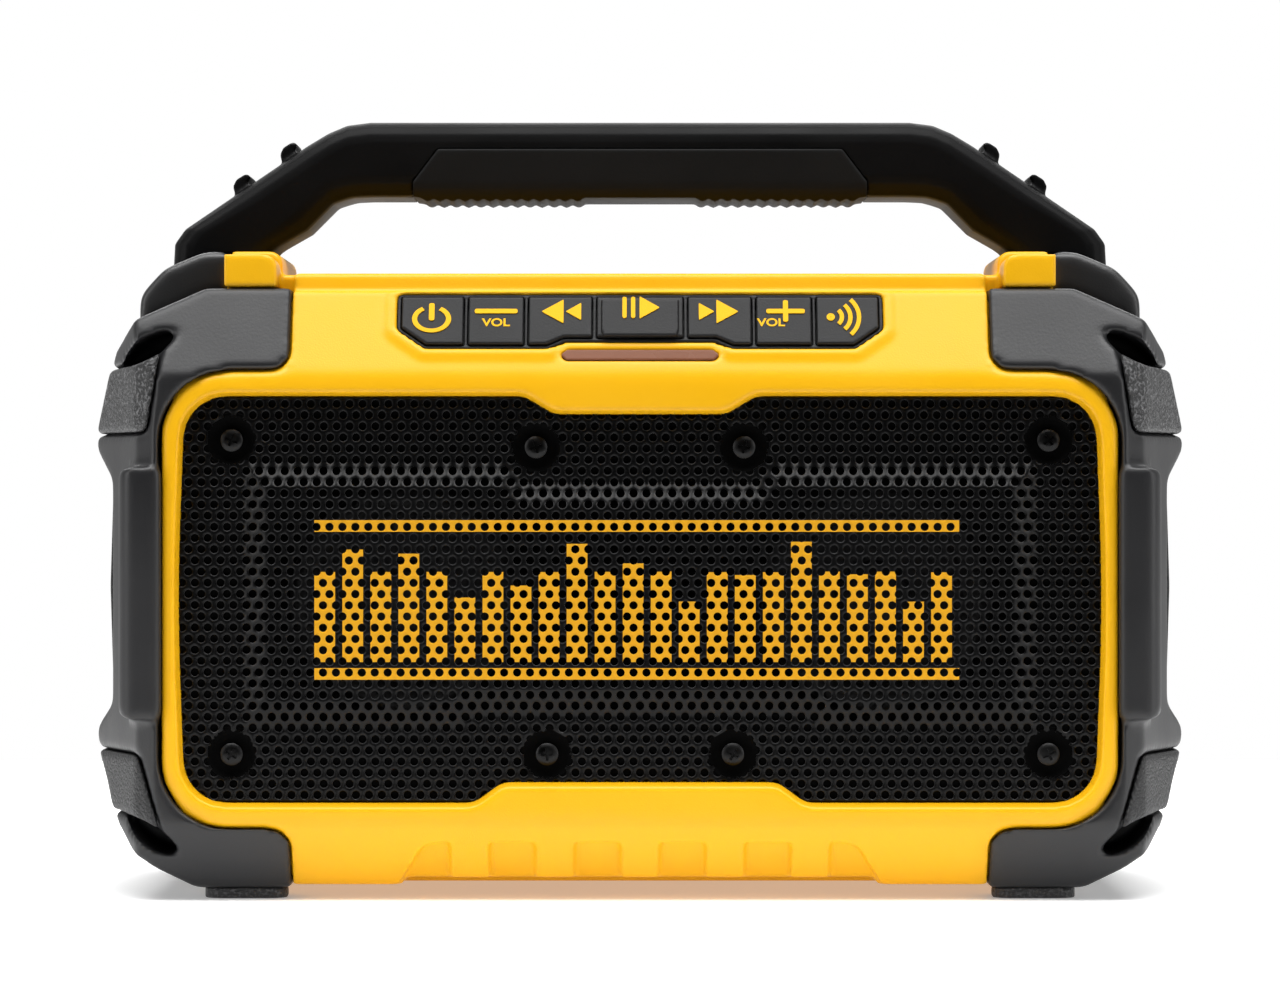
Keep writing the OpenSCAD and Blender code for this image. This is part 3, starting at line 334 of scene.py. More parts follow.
def line_pocket(finish):
    tree = finish.node_tree
    base = tree.nodes["Principled BSDF"].inputs["Base Color"]
    parts = tree.nodes.new("ShaderNodeSeparateXYZ")
    tree.links.new(tree.nodes.new("ShaderNodeTexCoord").outputs["Object"], parts.inputs[0])
    y = calc(tree, "SUBTRACT", parts.outputs[1], SLOPE_Y)
    z = calc(tree, "SUBTRACT", parts.outputs[2], SLOPE_Z)
    sine, cosine = math.sin(TILT), math.cos(TILT)
    up = calc(tree, "ADD", calc(tree, "MULTIPLY", y, sine), calc(tree, "MULTIPLY", z, cosine))
    out = calc(tree, "SUBTRACT", calc(tree, "MULTIPLY", z, sine), calc(tree, "MULTIPLY", y, cosine))
    deep = within(tree, out, POCKET_FLOOR, POCKET_LIP)
    inside = calc(tree, "MULTIPLY", within(tree, up, POCKET_LOW, POCKET_HIGH), deep)
    inside = calc(tree, "MULTIPLY", inside, within(tree, parts.outputs[0], -POCKET_HALF, POCKET_HALF))
    tree.links.new(two_tone(tree, inside, base.links[0].from_socket, LINING), base)


line_pocket(YELLOW)
print("slope degrees", round(math.degrees(TILT), 1))

# %% [markdown]
# The bumpers and the side grips come from a mould that was eroded by sparks, so their rubber is rough to
# the touch. One noise with cells of about half a millimetre drives both the pale specks and the bump. The
# upper and lower bumpers are the same rubber: the upper ones get brighter specks, a painted highlight for
# the light from above, and the lower ones a finer texture painted darker, a painted shade.

# %% Speckled rubber
def speckled(name, dark, speck, grain):
    finish, tree, shader, where = start_finish(name, 0.5)
    shader.inputs["Specular IOR Level"].default_value = 0.42
    pits = noise(tree, where, grain, 1)
    fleck = between(tree, pits, 0.48, 0.7, 0.0, 1.0)
    tree.links.new(two_tone(tree, fleck, dark, speck), shader.inputs["Base Color"])
    tree.links.new(between(tree, pits, 0.3, 0.7, 0.40, 0.62), shader.inputs["Roughness"])
    tree.links.new(bump(tree, pits, 0.0006, 0.7), shader.inputs["Normal"])
    return finish


# One rubber in two copies: brighter specks as painted highlight for the upper bumpers, darker as painted
# shade for the lower.
BUMPER_PAINTED_HIGHLIGHT = speckled("bumper_painted_highlight", (0.012, 0.012, 0.0124), (0.12, 0.12, 0.123), 1300)
BUMPER_PAINTED_SHADE = speckled("bumper_painted_shade", (0.006, 0.006, 0.0063), (0.034, 0.034, 0.035), 1500)
SIDE_GRIP = speckled("side_grip_texture", (0.007, 0.007, 0.0073), (0.028, 0.028, 0.029), 1700)
FOOT = speckled("foot_texture", (0.034, 0.034, 0.035), (0.11, 0.11, 0.112), 1300)
print("speckled", BUMPER_PAINTED_HIGHLIGHT.name, BUMPER_PAINTED_SHADE.name, SIDE_GRIP.name, FOOT.name)

# %% [markdown]
# The grille's coat is a black powder that shines a little. A row of level bars is printed on it in
# yellow. The print is worked out from the piece's own X and Z, so it falls on the sheet and not in the
# holes: the strip of bars is cut into columns, and each column gets a height from two sine waves. The
# lower rim of each hole, which faces up, is painted a little paler: a painted highlight where light from
# above would catch it.

# %% Grille finish with a printed row of level bars
PRINT_LEFT, PRINT_RIGHT = -75.5 * MM, 74 * MM
LOW_LINE, HIGH_LINE = (51.5 * MM, 54.2 * MM), (85.8 * MM, 88.5 * MM)
BAR_STEP, BAR_SHARE = 6.5 * MM, 0.74
BAR_FOOT, BAR_MEAN, BAR_SWING = 55.6 * MM, 76.5 * MM, 3.5 * MM
RIM_HIGHLIGHT_TONE, PRINT_TONE = (0.03, 0.03, 0.031), (0.64, 0.31, 0.008)


def printed_grille():
    finish, tree, shader, where = start_finish("grille_coat", 0.32)
    shader.inputs["Specular IOR Level"].default_value = 0.18
    parts = tree.nodes.new("ShaderNodeSeparateXYZ")
    tree.links.new(where, parts.inputs[0])
    x, z = parts.outputs[0], parts.outputs[2]
    column = calc(tree, "DIVIDE", calc(tree, "SUBTRACT", x, PRINT_LEFT), BAR_STEP)
    index = calc(tree, "FLOOR", column)
    in_bar = calc(tree, "LESS_THAN", calc(tree, "FRACT", column), BAR_SHARE)
    slow = calc(tree, "SINE", calc(tree, "MULTIPLY", index, 0.83))
    quick = calc(tree, "SINE", calc(tree, "MULTIPLY", index, 2.31))
    wave = calc(tree, "MULTIPLY", calc(tree, "ADD", slow, quick), BAR_SWING)
    top = calc(tree, "ADD", wave, BAR_MEAN)
    bars = calc(tree, "MULTIPLY", in_bar, calc(tree, "LESS_THAN", z, top))
    bars = calc(tree, "MULTIPLY", bars, calc(tree, "GREATER_THAN", z, BAR_FOOT))
    lines = calc(tree, "ADD", within(tree, z, *LOW_LINE), within(tree, z, *HIGH_LINE))
    strip = within(tree, x, PRINT_LEFT, PRINT_RIGHT)
    mark = calc(tree, "MULTIPLY", calc(tree, "MAXIMUM", bars, lines), strip)
    turned = tree.nodes.new("ShaderNodeSeparateXYZ")
    tree.links.new(tree.nodes.new("ShaderNodeNewGeometry").outputs["True Normal"], turned.inputs[0])
    mark = calc(tree, "MULTIPLY", mark, calc(tree, "LESS_THAN", turned.outputs[1], -0.5))
    # Rim faces that turn upward are painted paler: a painted highlight for light from above.
    rim = within(tree, turned.outputs[1], -0.855, -0.3)
    rim = calc(tree, "MULTIPLY", rim, calc(tree, "GREATER_THAN", turned.outputs[2], 0.2))
    soft = noise(tree, where, 400, 4)
    coat = two_tone(tree, soft, (0.0012, 0.0012, 0.0013), (0.0026, 0.0026, 0.0028))
    coat_with_rim_highlight = two_tone(tree, rim, coat, RIM_HIGHLIGHT_TONE)
    tree.links.new(two_tone(tree, mark, coat_with_rim_highlight, PRINT_TONE), shader.inputs["Base Color"])
    tree.links.new(between(tree, mark, 0, 1, 0.30, 0.55), shader.inputs["Roughness"])
    tree.links.new(bump(tree, noise(tree, where, 2600, 2), 0.00008, 0.2), shader.inputs["Normal"])
    return finish


GRILLE = printed_grille()
CONE = moulded("cone_paper", (0.010, 0.010, 0.011), (0.018, 0.018, 0.019), 0.75, grain=700, depth=0.0002)
print("grille and cone", GRILLE.name, CONE.name)

# %% [markdown]
# The camera stands level in front of the speaker, as in a catalogue picture. A long lens keeps the
# near and far edges almost the same size.

# %% Camera
EYE, LENS = (0, -1.3, 0.0941), 150.5
bpy.ops.object.camera_add(location=EYE, rotation=(math.pi / 2, 0, 0))
camera = bpy.context.view_layer.objects.active
camera.data.lens = LENS
camera.data.sensor_width = 36.0
bpy.context.scene.camera = camera
print("camera lens", camera.data.lens)

# %% [markdown]
# The floor is a short sheet of white paper. It ends behind the speaker, so above it only the white of
# the world is seen, and the speaker still stands on something that catches its shadow.

# %% Floor
FLOOR_SIZE, FLOOR_MIDDLE, FLOOR_GLOW = (3.2, 0.92, 1), (0, 0.14, 0), 0.26
bpy.ops.mesh.primitive_plane_add(size=1, location=FLOOR_MIDDLE)
floor = named_active("studio_floor")
floor.scale = FLOOR_SIZE
settle(floor)
edit_all("EDGE")
bpy.ops.mesh.subdivide(number_cuts=4)
leave_edit()
paper = bpy.data.materials.new("pale_paper")
paper.use_nodes = True
sheen = paper.node_tree.nodes["Principled BSDF"]
sheen.inputs["Base Color"].default_value = (0.93, 0.93, 0.93, 1)
sheen.inputs["Roughness"].default_value = 0.8
sheen.inputs["Emission Color"].default_value = (1, 1, 1, 1)
sheen.inputs["Emission Strength"].default_value = FLOOR_GLOW
floor.data.materials.append(paper)
print("floor", floor.dimensions[:2])

# %% [markdown]
# Light comes from a broad box above and one at each side, so the faces that look at the camera stay
# deep and every rounded edge carries a bright line. A small box behind lights the rear.

# %% Studio light
def softbox(name, place, aim, size, power):
    bpy.ops.object.light_add(type="AREA", location=place)
    lamp = bpy.context.view_layer.objects.active
    lamp.name = name
    lamp.data.shape = "RECTANGLE"
    lamp.data.size, lamp.data.size_y = size
    lamp.data.energy = power
    lamp.rotation_euler = (Vector(aim) - Vector(place)).to_track_quat("-Z", "Y").to_euler()


softbox("top_box", (0, -0.38, 1.45), (0, -0.03, 0.1), (2.0, 0.9), 42)
softbox("left_box", (-1.15, -0.5, 0.45), (0, 0, 0.08), (0.5, 0.9), 4.6)
softbox("right_box", (1.15, -0.5, 0.45), (0, 0, 0.08), (0.5, 0.9), 4.6)
softbox("rear_box", (0, 0.9, 1.0), (0, 0, 0.1), (1.4, 0.5), 8)

# %% [markdown]
# The background is white to the camera, and shiny surfaces see part of that white behind the speaker. It
# gives almost no light of its own, so the boxes alone shape the speaker.

# %% White background
world = bpy.data.worlds.new("studio") if bpy.context.scene.world is None else bpy.context.scene.world
bpy.context.scene.world = world
world.use_nodes = True
sky = world.node_tree
sky.nodes["Background"].inputs["Color"].default_value = (1, 1, 1, 1)
path = sky.nodes.new("ShaderNodeLightPath").outputs
facing = sky.nodes.new("ShaderNodeSeparateXYZ")
sky.links.new(sky.nodes.new("ShaderNodeTexCoord").outputs["Generated"], facing.inputs[0])
behind = between(sky, facing.outputs[1], 0.0, 0.5, 0.0, 0.6)
shiny = calc(sky, "MAXIMUM", path["Is Glossy Ray"], path["Is Transmission Ray"])
seen = calc(sky, "MAXIMUM", path["Is Camera Ray"], calc(sky, "MULTIPLY", shiny, behind))
sky.links.new(between(sky, seen, 0.0, 1.0, 0.05, 1.0), sky.nodes["Background"].inputs["Strength"])
bpy.context.scene.view_settings.view_transform = "Standard"
print("background", world.name)

# %% [markdown]
# The yellow housing is moulded in two halves. Each copy is remeshed in fine voxels and smoothed a few
# times, which rounds every edge by a few tenths of a millimetre. The outer edge of the raised frame round
# the grille is softer on the real housing, so the points near it are chosen by their place and smoothed
# more.

# %% Yellow housing
CORNER_X, CORNER_UP, CORNER_R = 95 * MM, 35.75 * MM, 16 * MM
EDGE_BAND, EDGE_ROUNDS, FRAME_BACK = 2.6 * MM, 30, -56 * MM


def frame_edge(at):
    aside = max(abs(at.x) - CORNER_X, 0)
    up = max(abs(at.z - OPENING_Z) - CORNER_UP, 0)
    return at.y < FRAME_BACK and abs(math.hypot(aside, up) - CORNER_R) < EDGE_BAND


def soften_frame(piece):
    select_where(piece, frame_edge)
    bpy.ops.mesh.vertices_smooth(factor=0.5, repeat=EDGE_ROUNDS)
    leave_edit()


shell = melted_copy("front_shell", 0.6, 4, 0.22, YELLOW, soften_frame)
print(shell.name, triangles(shell))
shell = melted_copy("rear_shell", 0.8, 3, 0.25, YELLOW)
print(shell.name, triangles(shell))

# %% [markdown]
# The guards at the two ends are thick rubber over the housing's corners. Their edges are soft, so the
# copies are melted: remeshed in small voxels, smoothed, and then thinned where they are flat.

# %% Rubber guards, bumpers and shoulders
for side in ("left", "right"):
    for node, voxel, rounds, keep, finish in (("guard", 0.8, 12, 0.35, GUARD),
                                              ("upper_bumper", 0.6, 30, 0.4, BUMPER_PAINTED_HIGHLIGHT),
                                              ("lower_bumper", 0.6, 30, 0.4, BUMPER_PAINTED_SHADE),
                                              ("handle_shoulder", 0.6, 70, 0.4, SHOULDER)):
        piece = melted_copy(side + "_" + node, voxel, rounds, keep, finish)
        print(piece.name, triangles(piece))
    piece = rounded_copy(side + "_side_grip", 0.4, SIDE_GRIP)
    print(piece.name, triangles(piece))

# %% [markdown]
# The handle is one hard moulding from foot to foot, and a sleeve of soft rubber with fine ridges is set
# into its underside. Both are small enough for fine voxels, so the ridges and the hooks on the arms stay.

# %% Handle and grip
handle = melted_copy("handle", 0.5, 4, 0.3, HANDLE)
grip = melted_copy("handle_grip", 0.4, 4, 0.35, GRIP)
print(handle.name, triangles(handle), grip.name, triangles(grip))

# %% [markdown]
# The keys are caps of silicone in one dark band, and under them a slim lens shows the state of charge.
# Voxels of a fifth of a millimetre keep the gaps between the caps open. Smoothing takes a little off each
# cap, so its outer part is swollen again along its normals. The stem under it stays as it is, because it
# has to stop short of its switch when the key is pressed.

# %% Keys and light bar
KEYS = [n for n in nodes if n.endswith("_key")]
SWELL, CAP_FOOT = 0.14, -1.2 * MM


def out_of_slope(at):
    return (at.z - SLOPE_Z) * math.sin(TILT) - (at.y - SLOPE_Y) * math.cos(TILT)


def swell_cap(piece):
    cap = piece.vertex_groups.new(name="cap")
    cap.add([v.index for v in piece.data.vertices if out_of_slope(v.co) > CAP_FOOT], 1.0, "REPLACE")
    apply_modifier(piece, "DISPLACE", strength=SWELL * MM, mid_level=0, vertex_group=cap.name)
    piece.vertex_groups.clear()


for node in KEYS:
    piece = melted_copy(node, 0.2, 6, 0.3, KEY, swell_cap)
    print(piece.name, triangles(piece))
melted_copy("key_frame", 0.25, 2, 0.25, KEY)
melted_copy("light_bar", 0.2, 1, 0.4, LAMP)

# %% [markdown]
# Each key carries a symbol in raised yellow paint. The symbols are modelled flat on the ground, where
# they are easy to draw: rings from circles, bars and triangles from single faces whose corners are
# rounded. Each is then drawn up by a third of a millimetre, tilted to the slope and set on its key.

# %% Helpers for flat symbols
PAINT = 0.3


def thicken(piece, height=PAINT):
    choose(piece)
    edit_all("FACE")
    bpy.ops.mesh.extrude_region_move(TRANSFORM_OT_translate={"value": (0, 0, height * MM)})
    bpy.ops.mesh.select_all(action="SELECT")
    bpy.ops.mesh.normals_make_consistent(inside=False)
    leave_edit()


def flat_bar(width, height, x=0, y=0, corner=0.45, tall=PAINT):
    bpy.ops.mesh.primitive_plane_add(size=MM, location=(x * MM, y * MM, 0))
    bar = named_active("bar")
    bar.scale = (width, height, 1)
    settle(bar)
    edit_all()
    bpy.ops.mesh.bevel(offset=corner * MM, segments=4, affect="VERTICES", offset_type="OFFSET")
    leave_edit()
    thicken(bar, tall)
    return bar


def flat_triangle(tip, base, half):
    bpy.ops.mesh.primitive_plane_add(size=MM, location=((tip + base) / 2 * MM, 0, 0))
    wedge = named_active("wedge")
    wedge.scale = (abs(tip - base), 2 * half, 1)
    settle(wedge)
    select_where(wedge, lambda at: abs(at.x - tip * MM) < 0.01 * MM)
    bpy.ops.mesh.merge(type="CENTER")
    bpy.ops.mesh.select_all(action="SELECT")
    bpy.ops.mesh.bevel(offset=0.25 * MM, segments=3, affect="VERTICES", offset_type="OFFSET")
    leave_edit()
    thicken(wedge)
    return wedge


def flat_ring(outer, inner, keep, x=0, y=0, squash=1.0):
    bpy.ops.mesh.primitive_circle_add(vertices=48, radius=outer * MM)
    ring = named_active("ring")
    edit_all("EDGE")
    bpy.ops.mesh.extrude_edges_move()
    bpy.ops.transform.resize(value=(inner / outer,) * 3)
    leave_edit()

    def cut_away(face):
        return not keep(math.degrees(math.atan2(face.center.y, face.center.x)) % 360)

    select_where(ring, cut_away, "FACE")
    bpy.ops.mesh.delete(type="FACE")
    leave_edit()
    ring.scale = (1, squash, 1)
    ring.location = (x * MM, y * MM, 0)
    settle(ring)
    thicken(ring)
    return ring


def word(text, size, x=0, y=0):
    bpy.ops.object.text_add(location=(x * MM, y * MM, 0))
    letters = bpy.context.view_layer.objects.active
    letters.data.body = text
    letters.data.align_x, letters.data.align_y = "CENTER", "CENTER"
    letters.data.size = size * MM
    letters.data.extrude = PAINT / 2 * MM
    letters.data.offset = 0.07 * MM
    bpy.ops.object.convert(target="MESH")
    letters = named_active("letters")
    letters.scale = (1.15, 1, 1)
    settle(letters)
    return letters


def set_on_key(node, parts, x, up, rise):
    choose(parts[0])
    for part in parts:
        part.select_set(True)
    bpy.ops.object.join()
    symbol = named_active("symbol_" + node)
    symbol.rotation_euler = (math.pi / 2 - TILT, 0, 0)
    symbol.location = (x * MM, SLOPE_Y + (up * math.sin(TILT) - rise * math.cos(TILT)) * MM,
                       SLOPE_Z + (up * math.cos(TILT) + rise * math.sin(TILT)) * MM)
    settle(symbol)
    smooth(symbol, 40)
    symbol.data.materials.clear()
    symbol.data.materials.append(SYMBOL)
    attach(symbol, body_of_node(node))
    print(symbol.name, triangles(symbol))

# %% [markdown]
# From left to right: power, volume down, back, play, forward, volume up, and waves for pairing. The play
# key stands higher than the others, so its symbol does too.

# %% Symbols on the keys
ON, ON_PLAY = 0.65 + SWELL, 1.45 + SWELL
set_on_key("power_key", [flat_ring(4.55, 3.35, lambda a: abs(a - 90) > 27, squash=0.8),
                         flat_bar(1.3, 4.6, 0, 1.9)], -48.5, 14.9, ON)
set_on_key("volume_down_key", [flat_bar(10, 1.15, 0, 1.5), word("VOL", 2.9, 0, -1.6)], -33.5, 15.5, ON)
set_on_key("volume_up_key", [flat_bar(9, 1.15, 0.1, 1.5), flat_bar(1.2, 5.8, 0.1, 1.5, tall=0.32),
                             word("VOL", 2.9, -3.3, -1.6)], 33.8, 15.5, ON)
set_on_key("previous_key", [flat_triangle(-4.6, 0.5, 3.2), flat_triangle(1.0, 4.6, 2.3)], -18.3, 16.9, ON)
set_on_key("next_key", [flat_triangle(4.6, -0.5, 3.2), flat_triangle(-1.0, -4.6, 2.3)], 18.3, 16.9, ON)
set_on_key("play_key", [flat_bar(1.0, 5.7, -3.6), flat_bar(1.0, 5.7, -1.6), flat_triangle(4.6, -0.1, 3.0)],
           0, 17.5, ON_PLAY)
waves = [flat_ring(r + 0.5, r - 0.5, lambda a: a < 42 or a > 318, -3.2) for r in (2.6, 4.6, 6.6)]
set_on_key("pairing_key", waves + [flat_ring(0.95, 0.1, lambda a: True, -3.2)], 47.6, 15.4, ON)

# %% [markdown]
# The grille is a steel sheet with thousands of round holes, pressed forward in the middle. One hole in
# its own six-sided cell is enough to model: a ring of twelve points is pulled out twice, first for the
# small chamfer round the hole and then to the cell's edge, and the corner points are pushed out until
# the cells meet. Three arrays fill the sheet.

# %% One hole and its cell, repeated
PITCH, HOLE, RIM = 3.0 * MM, 0.98 * MM, 1.16 * MM
ROW = PITCH * math.sqrt(3) / 2
COLUMNS, ROWS = 74, 19
IN_FRONT = -75 * MM
bpy.ops.mesh.primitive_circle_add(vertices=12, radius=HOLE, rotation=(math.pi / 2, 0, 0))
sheet = named_active("pressed_grille")
settle(sheet)
edit_all("EDGE")
bpy.ops.mesh.extrude_edges_move()
bpy.ops.transform.resize(value=(RIM / HOLE,) * 3)
bpy.ops.mesh.extrude_edges_move()
bpy.ops.transform.resize(value=(PITCH / 2 / RIM,) * 3)
leave_edit()


def cell_corner(at):
    around = math.degrees(math.atan2(at.z, at.x)) % 60
    return at.length > (RIM + PITCH / 2) / 2 and abs(around - 30) < 5


select_where(sheet, cell_corner)
bpy.ops.transform.resize(value=(2 / math.sqrt(3),) * 3)
bpy.ops.mesh.select_all(action="SELECT")
bpy.ops.mesh.flip_normals()
start = (-(COLUMNS - 1) / 2 * PITCH, IN_FRONT, OPENING_Z - (2 * ROWS - 1) / 2 * ROW)
bpy.ops.transform.translate(value=start)
leave_edit()
for count, step in ((COLUMNS, (PITCH, 0, 0)), (2, (PITCH / 2, 0, ROW)), (ROWS, (0, 0, 2 * ROW))):
    apply_modifier(sheet, "ARRAY", count=count, use_relative_offset=False, use_constant_offset=True,
                   constant_offset_displace=step, use_merge_vertices=True, merge_threshold=1e-5)
print("cells", COLUMNS * ROWS * 2, "faces", len(sheet.data.polygons))

# %% [markdown]
# The sheet is trimmed to the opening with four cuts. To press it, a plain guide is modelled: a flange
# plane with a second plane on it whose face is inset and pulled forward. The flat sheet is projected
# onto the guide along Y, and the guide is thrown away.

# %% Trim the sheet and press it over a guide
SHEET_HALF, SHEET_LOW, SHEET_HIGH = 107.2 * MM, 23.1 * MM, 117.0 * MM
FLANGE_Y = -56.5 * MM
GUIDE_SIZE, PANEL_SIZE = (230 * MM, 110 * MM), (184 * MM, 61 * MM)
PANEL_Z = OPENING_Z + 1 * MM
TOP_NOTCH, LOW_NOTCH = (26.5 * MM, 30.5 * MM, -4.4 * MM), (38 * MM, 42 * MM, 3 * MM)
PRESS_SLOPE, PRESS_DEPTH = 5.4 * MM, 3 * MM
NEAR = 0.5 * MM
choose(sheet)
edit_all()
for x, z, out_x, out_z in ((-SHEET_HALF, 0, -1, 0), (SHEET_HALF, 0, 1, 0),
                           (0, SHEET_LOW, 0, -1), (0, SHEET_HIGH, 0, 1)):
    bpy.ops.mesh.select_all(action="SELECT")
    bpy.ops.mesh.bisect(plane_co=(x, 0, z), plane_no=(out_x, 0, out_z), clear_outer=True)
leave_edit()


def upright_plane(name, size, z):
    bpy.ops.mesh.primitive_plane_add(size=1, location=(0, FLANGE_Y, z), rotation=(math.pi / 2, 0, 0))
    plane = named_active(name)
    plane.scale = (*size, 1)
    settle(plane)
    return plane


guide = upright_plane("guide", GUIDE_SIZE, OPENING_Z)
panel = upright_plane("panel", PANEL_SIZE, PANEL_Z)
steps = sorted(side * x for side in (-1, 1) for x in (*TOP_NOTCH[:2], *LOW_NOTCH[:2]))
for x in steps:
    edit_all()
    bpy.ops.mesh.bisect(plane_co=(x, 0, 0), plane_no=(1, 0, 0))
    leave_edit()
for edge, (foot, _, shift) in ((1, TOP_NOTCH), (-1, LOW_NOTCH)):
    line = PANEL_Z + edge * PANEL_SIZE[1] / 2
    select_where(panel, lambda at: abs(at.z - line) < NEAR and abs(at.x) < foot + NEAR)
    bpy.ops.transform.translate(value=(0, 0, shift))
edit_all("FACE")
bpy.ops.mesh.inset(thickness=PRESS_SLOPE, depth=PRESS_DEPTH, use_even_offset=True)
leave_edit()
choose(guide)
panel.select_set(True)
bpy.ops.object.join()
apply_modifier(sheet, "SHRINKWRAP", target=guide, wrap_method="PROJECT", use_project_y=True,
               use_positive_direction=True, use_negative_direction=False)
bpy.data.objects.remove(guide)
depths = [v.co.y for v in sheet.data.vertices]
print("pressed depth mm", round((max(depths) - min(depths)) / MM, 2))

# %% [markdown]
# Each screw sits in a round dimple. The cells near it are deleted, which leaves the ragged rim that a
# punch leaves when it cuts through a perforated sheet. Then every open edge is pushed back a little for
# the chamfer and drawn back again for the sheet's thickness.

# %% Dimples and thickness
PUNCH_R, DIMPLE_R, DIMPLE_Y = 5.6 * MM, 6.6 * MM, -55.7 * MM
CHAMFER, THICK = 0.12 * MM, 0.7 * MM
RIGHT_SCREWS = ((95, 107.05), (24.2, 105.45), (95, 34.05), (21.6, 34.05))
SCREWS = [(side * x * MM, z * MM) for side in (-1, 1) for x, z in RIGHT_SCREWS]


def near_screw(face):
    return any(math.hypot(face.center.x - x, face.center.z - z) < PUNCH_R for x, z in SCREWS)


choose(sheet)
select_where(sheet, near_screw, "FACE")
bpy.ops.mesh.delete(type="FACE")
bpy.ops.mesh.select_mode(type="EDGE")
bpy.ops.mesh.select_non_manifold(extend=False, use_wire=False, use_boundary=True, use_multi_face=False,
                                 use_non_contiguous=False, use_verts=False)
bpy.ops.transform.translate(value=(0, CHAMFER, 0))
bpy.ops.mesh.extrude_edges_move(TRANSFORM_OT_translate={"value": (0, THICK, 0)})
leave_edit()

bpy.ops.mesh.primitive_circle_add(vertices=32, radius=DIMPLE_R, rotation=(math.pi / 2, 0, 0))
cup = named_active("dimple")
settle(cup)
edit_all("EDGE")
for scale, back in ((5.6 / 6.6, 0.7), (4.6 / 5.6, 0.6), (0.45, 0.0)):
    bpy.ops.mesh.extrude_edges_move(TRANSFORM_OT_translate={"value": (0, back * MM, 0)})
    bpy.ops.transform.resize(value=(scale, 1, scale))
bpy.ops.mesh.select_all(action="SELECT")
bpy.ops.mesh.normals_make_consistent(inside=False)
leave_edit()
if sum(f.normal.y for f in cup.data.polygons) > 0:
    edit_all()
    bpy.ops.mesh.flip_normals()
    leave_edit()
# The cups are part of the coated sheet but take the darker, duller inner black: a painted shade so their
# slopes stay dark.
for i, (x, z) in enumerate(SCREWS):
    copy = own_copy(cup, "grille_dimple_%d" % (i + 1))
    copy.location = (x, DIMPLE_Y, z)
    settle(copy)
    smooth(copy, 40)
    dress(copy, "grille", INNER)
bpy.data.objects.remove(cup)
smooth(sheet, 40)
dress(sheet, "grille", GRILLE)
print(sheet.name, triangles(sheet))

# %% [markdown]
# A pan-head screw holds the sheet in each dimple. The head is a cylinder whose front face is inset and
# pulled out to a dome, and a cross of two bars is cut into it.

# %% Grille screws
HEAD_R, HEAD_H, HEAD_Y = 2.6 * MM, 1.0 * MM, -55.3 * MM
FIRST_TURN, NEXT_TURN = 0.4, 0.9
bpy.ops.mesh.primitive_cylinder_add(vertices=28, radius=HEAD_R, depth=HEAD_H, rotation=(math.pi / 2, 0, 0))
screw = named_active("grille_screw")
settle(screw)
select_where(screw, lambda face: face.normal.y < -0.9, "FACE")
for inward, forward in ((0.5, 0.35), (0.7, 0.2), (0.6, 0.06)):
    bpy.ops.mesh.inset(thickness=inward * MM, depth=forward * MM)
leave_edit()
for turn in (0, math.pi / 2):
    bpy.ops.mesh.primitive_cube_add(size=MM, location=(0, -HEAD_H, 0), rotation=(0, turn, 0))
    slot_cutter = named_active("cross_bar")
    slot_cutter.scale = (2.9, 1.5, 0.62)
    settle(slot_cutter)
    select_where(slot_cutter, lambda at: at.y > 0)
    bpy.ops.transform.resize(value=(0.45, 1, 0.45))
    leave_edit()
    apply_modifier(screw, "BOOLEAN", operation="DIFFERENCE", object=slot_cutter, solver="EXACT")
    bpy.data.objects.remove(slot_cutter)
smooth(screw, 40)
for i, (x, z) in enumerate(SCREWS):
    copy = own_copy(screw, "grille_screw_%d" % (i + 1))
    copy.rotation_euler = (0, FIRST_TURN + NEXT_TURN * i, 0)
    copy.location = (x, HEAD_Y, z)
    settle(copy)
    dress(copy, "grille_screws", BLACK_SCREW)
print("screws", len(SCREWS), "triangles each", triangles(copy))
bpy.data.objects.remove(screw)

# %% [markdown]
# The rear has a bay for a slide-in battery and a flap over the sockets. These are plain mouldings with
# small soft edges, so they are melted like the housing. The flat blades of the contacts get a bevel.

# %% Battery bay, port cover, sockets and feet
for node, voxel, rounds, keep, finish in (("battery_bay", 0.6, 3, 0.2, BAY),
                                          ("terminal_block", 0.3, 3, 0.3, BAY),
                                          ("port_cover", 0.25, 6, 0.25, GUARD),
                                          ("port_plate", 0.3, 2, 0.3, BAY),
                                          ("usb_port", 0.2, 2, 0.3, STEEL),
                                          ("audio_jack", 0.2, 2, 0.3, BAY),
                                          ("power_inlet", 0.2, 2, 0.3, BAY),
                                          ("feet", 0.4, 6, 0.3, FOOT)):
    piece = melted_copy(node, voxel, rounds, keep, finish)
    print(piece.name, triangles(piece))
piece = rounded_copy("battery_contacts", 0.2, CONTACT)
print(piece.name, triangles(piece))

# %% [markdown]
# A thumb opens the flap at its free edge, where such flaps have a few low ribs. One rib is a block whose
# edges are all rounded, sunk by half into the flap, and the others are copies of it.

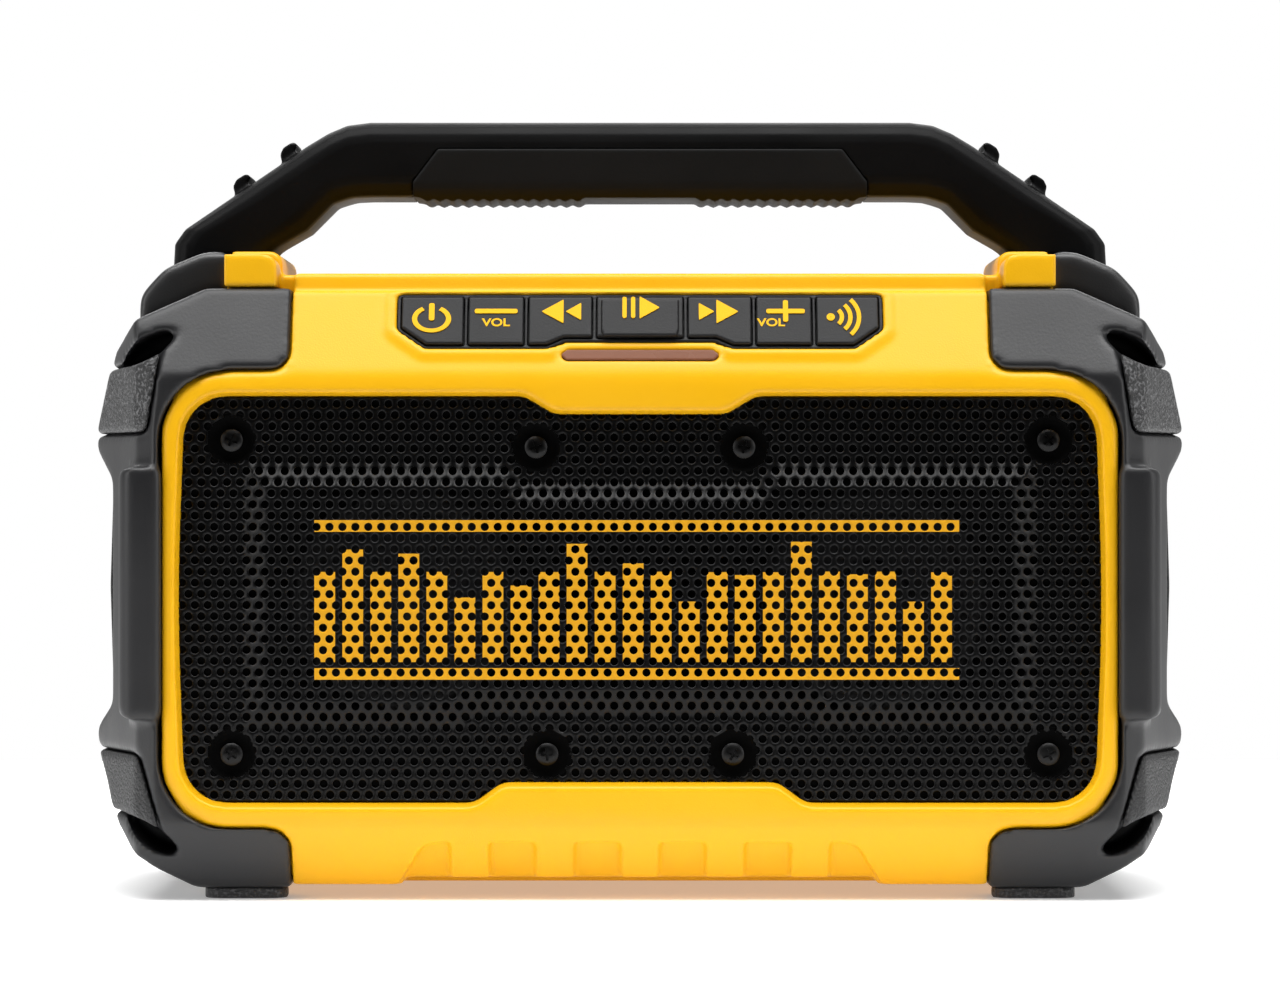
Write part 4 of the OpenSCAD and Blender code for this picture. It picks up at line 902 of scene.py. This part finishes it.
# %% Ribs on the port cover
RIB_STEP, RIB_COUNT = 3.2 * MM, 4
FIRST_RIB, RIB_SIZE = (-86.5 * MM, 60.8 * MM, 78.05 * MM), (1.6, 1.6, 17)
bpy.ops.mesh.primitive_cube_add(size=MM, location=FIRST_RIB)
ribs = named_active("cover_ribs")
ribs.scale = RIB_SIZE
settle(ribs)
edit_all("EDGE")
bpy.ops.mesh.bevel(offset=0.5 * MM, segments=3)
leave_edit()
apply_modifier(ribs, "ARRAY", count=RIB_COUNT, use_relative_offset=False, use_constant_offset=True,
               constant_offset_displace=(RIB_STEP, 0, 0))
smooth(ribs, 40)
ribs.data.materials.append(GUARD)
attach(ribs, body_of_node("port_cover"))
print(ribs.name, triangles(ribs))

# %% [markdown]
# Behind the grille each cone hangs in a soft ring that is clamped at its outer edge. When the cone moves,
# the ring stretches between the two. Here a ring is cut into sectors like a cake, and neighbours agree
# along their cut.

# %% Soft rings of the drivers
SECTORS, RING_OUT, RING_IN = 12, 25.1 * MM, 20.8 * MM
DRIVER_X = 55 * MM
STEP = 2 * math.pi / SECTORS


def cut_side(turn, way):
    return (-way * math.sin(turn), 0, way * math.cos(turn))


for side, sign in (("left", -1), ("right", 1)):
    node = side + "_driver_surround"
    middle = Vector((sign * DRIVER_X, 0, OPENING_Z))
    ring = copy_of(node, "whole_ring")
    for k in range(SECTORS):
        sector = own_copy(ring, "dressed_%s_%d" % (node, k + 1))
        choose(sector)
        edit_all()
        for way in (-1, 1):
            bpy.ops.mesh.select_all(action="SELECT")
            side_on = cut_side((k + way / 2) * STEP, way)
            bpy.ops.mesh.bisect(plane_co=middle, plane_no=side_on, clear_outer=True)
        leave_edit()
        smooth(sector, 40)
        sector.data.materials.append(SEAL)
        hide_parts(node)
        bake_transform(sector)
    bpy.data.objects.remove(ring)
    print(node, "sectors", SECTORS, "triangles each", triangles(sector))

# %% [markdown]
# The pieces inside the housing, such as the drivers, the boards and the seal, stay plain solids. They only
# show through the holes or when the speaker is taken apart, so a finish by their material is enough.

# %% Plain finishes on the solids that stay
FINISH_OF = {"yellow_housing": YELLOW, "guard_rubber": GUARD, "bumper_rubber": BUMPER_PAINTED_HIGHLIGHT,
             "shoulder_plastic": SHOULDER, "handle_plastic": HANDLE, "grip_rubber": GRIP,
             "grille_steel": GRILLE, "black_screw": BLACK_SCREW, "inner_plastic": INNER, "key_rubber": KEY,
             "light_lens": LAMP, "circuit_board": BOARD, "steel": STEEL, "contact_brass": CONTACT,
             "seal_rubber": SEAL, "cone_paper": CONE, "bay_plastic": BAY}
for node, solid in nodes.items():
    solid.data.materials.clear()
    solid.data.materials.append(FINISH_OF[slot_of[node]])
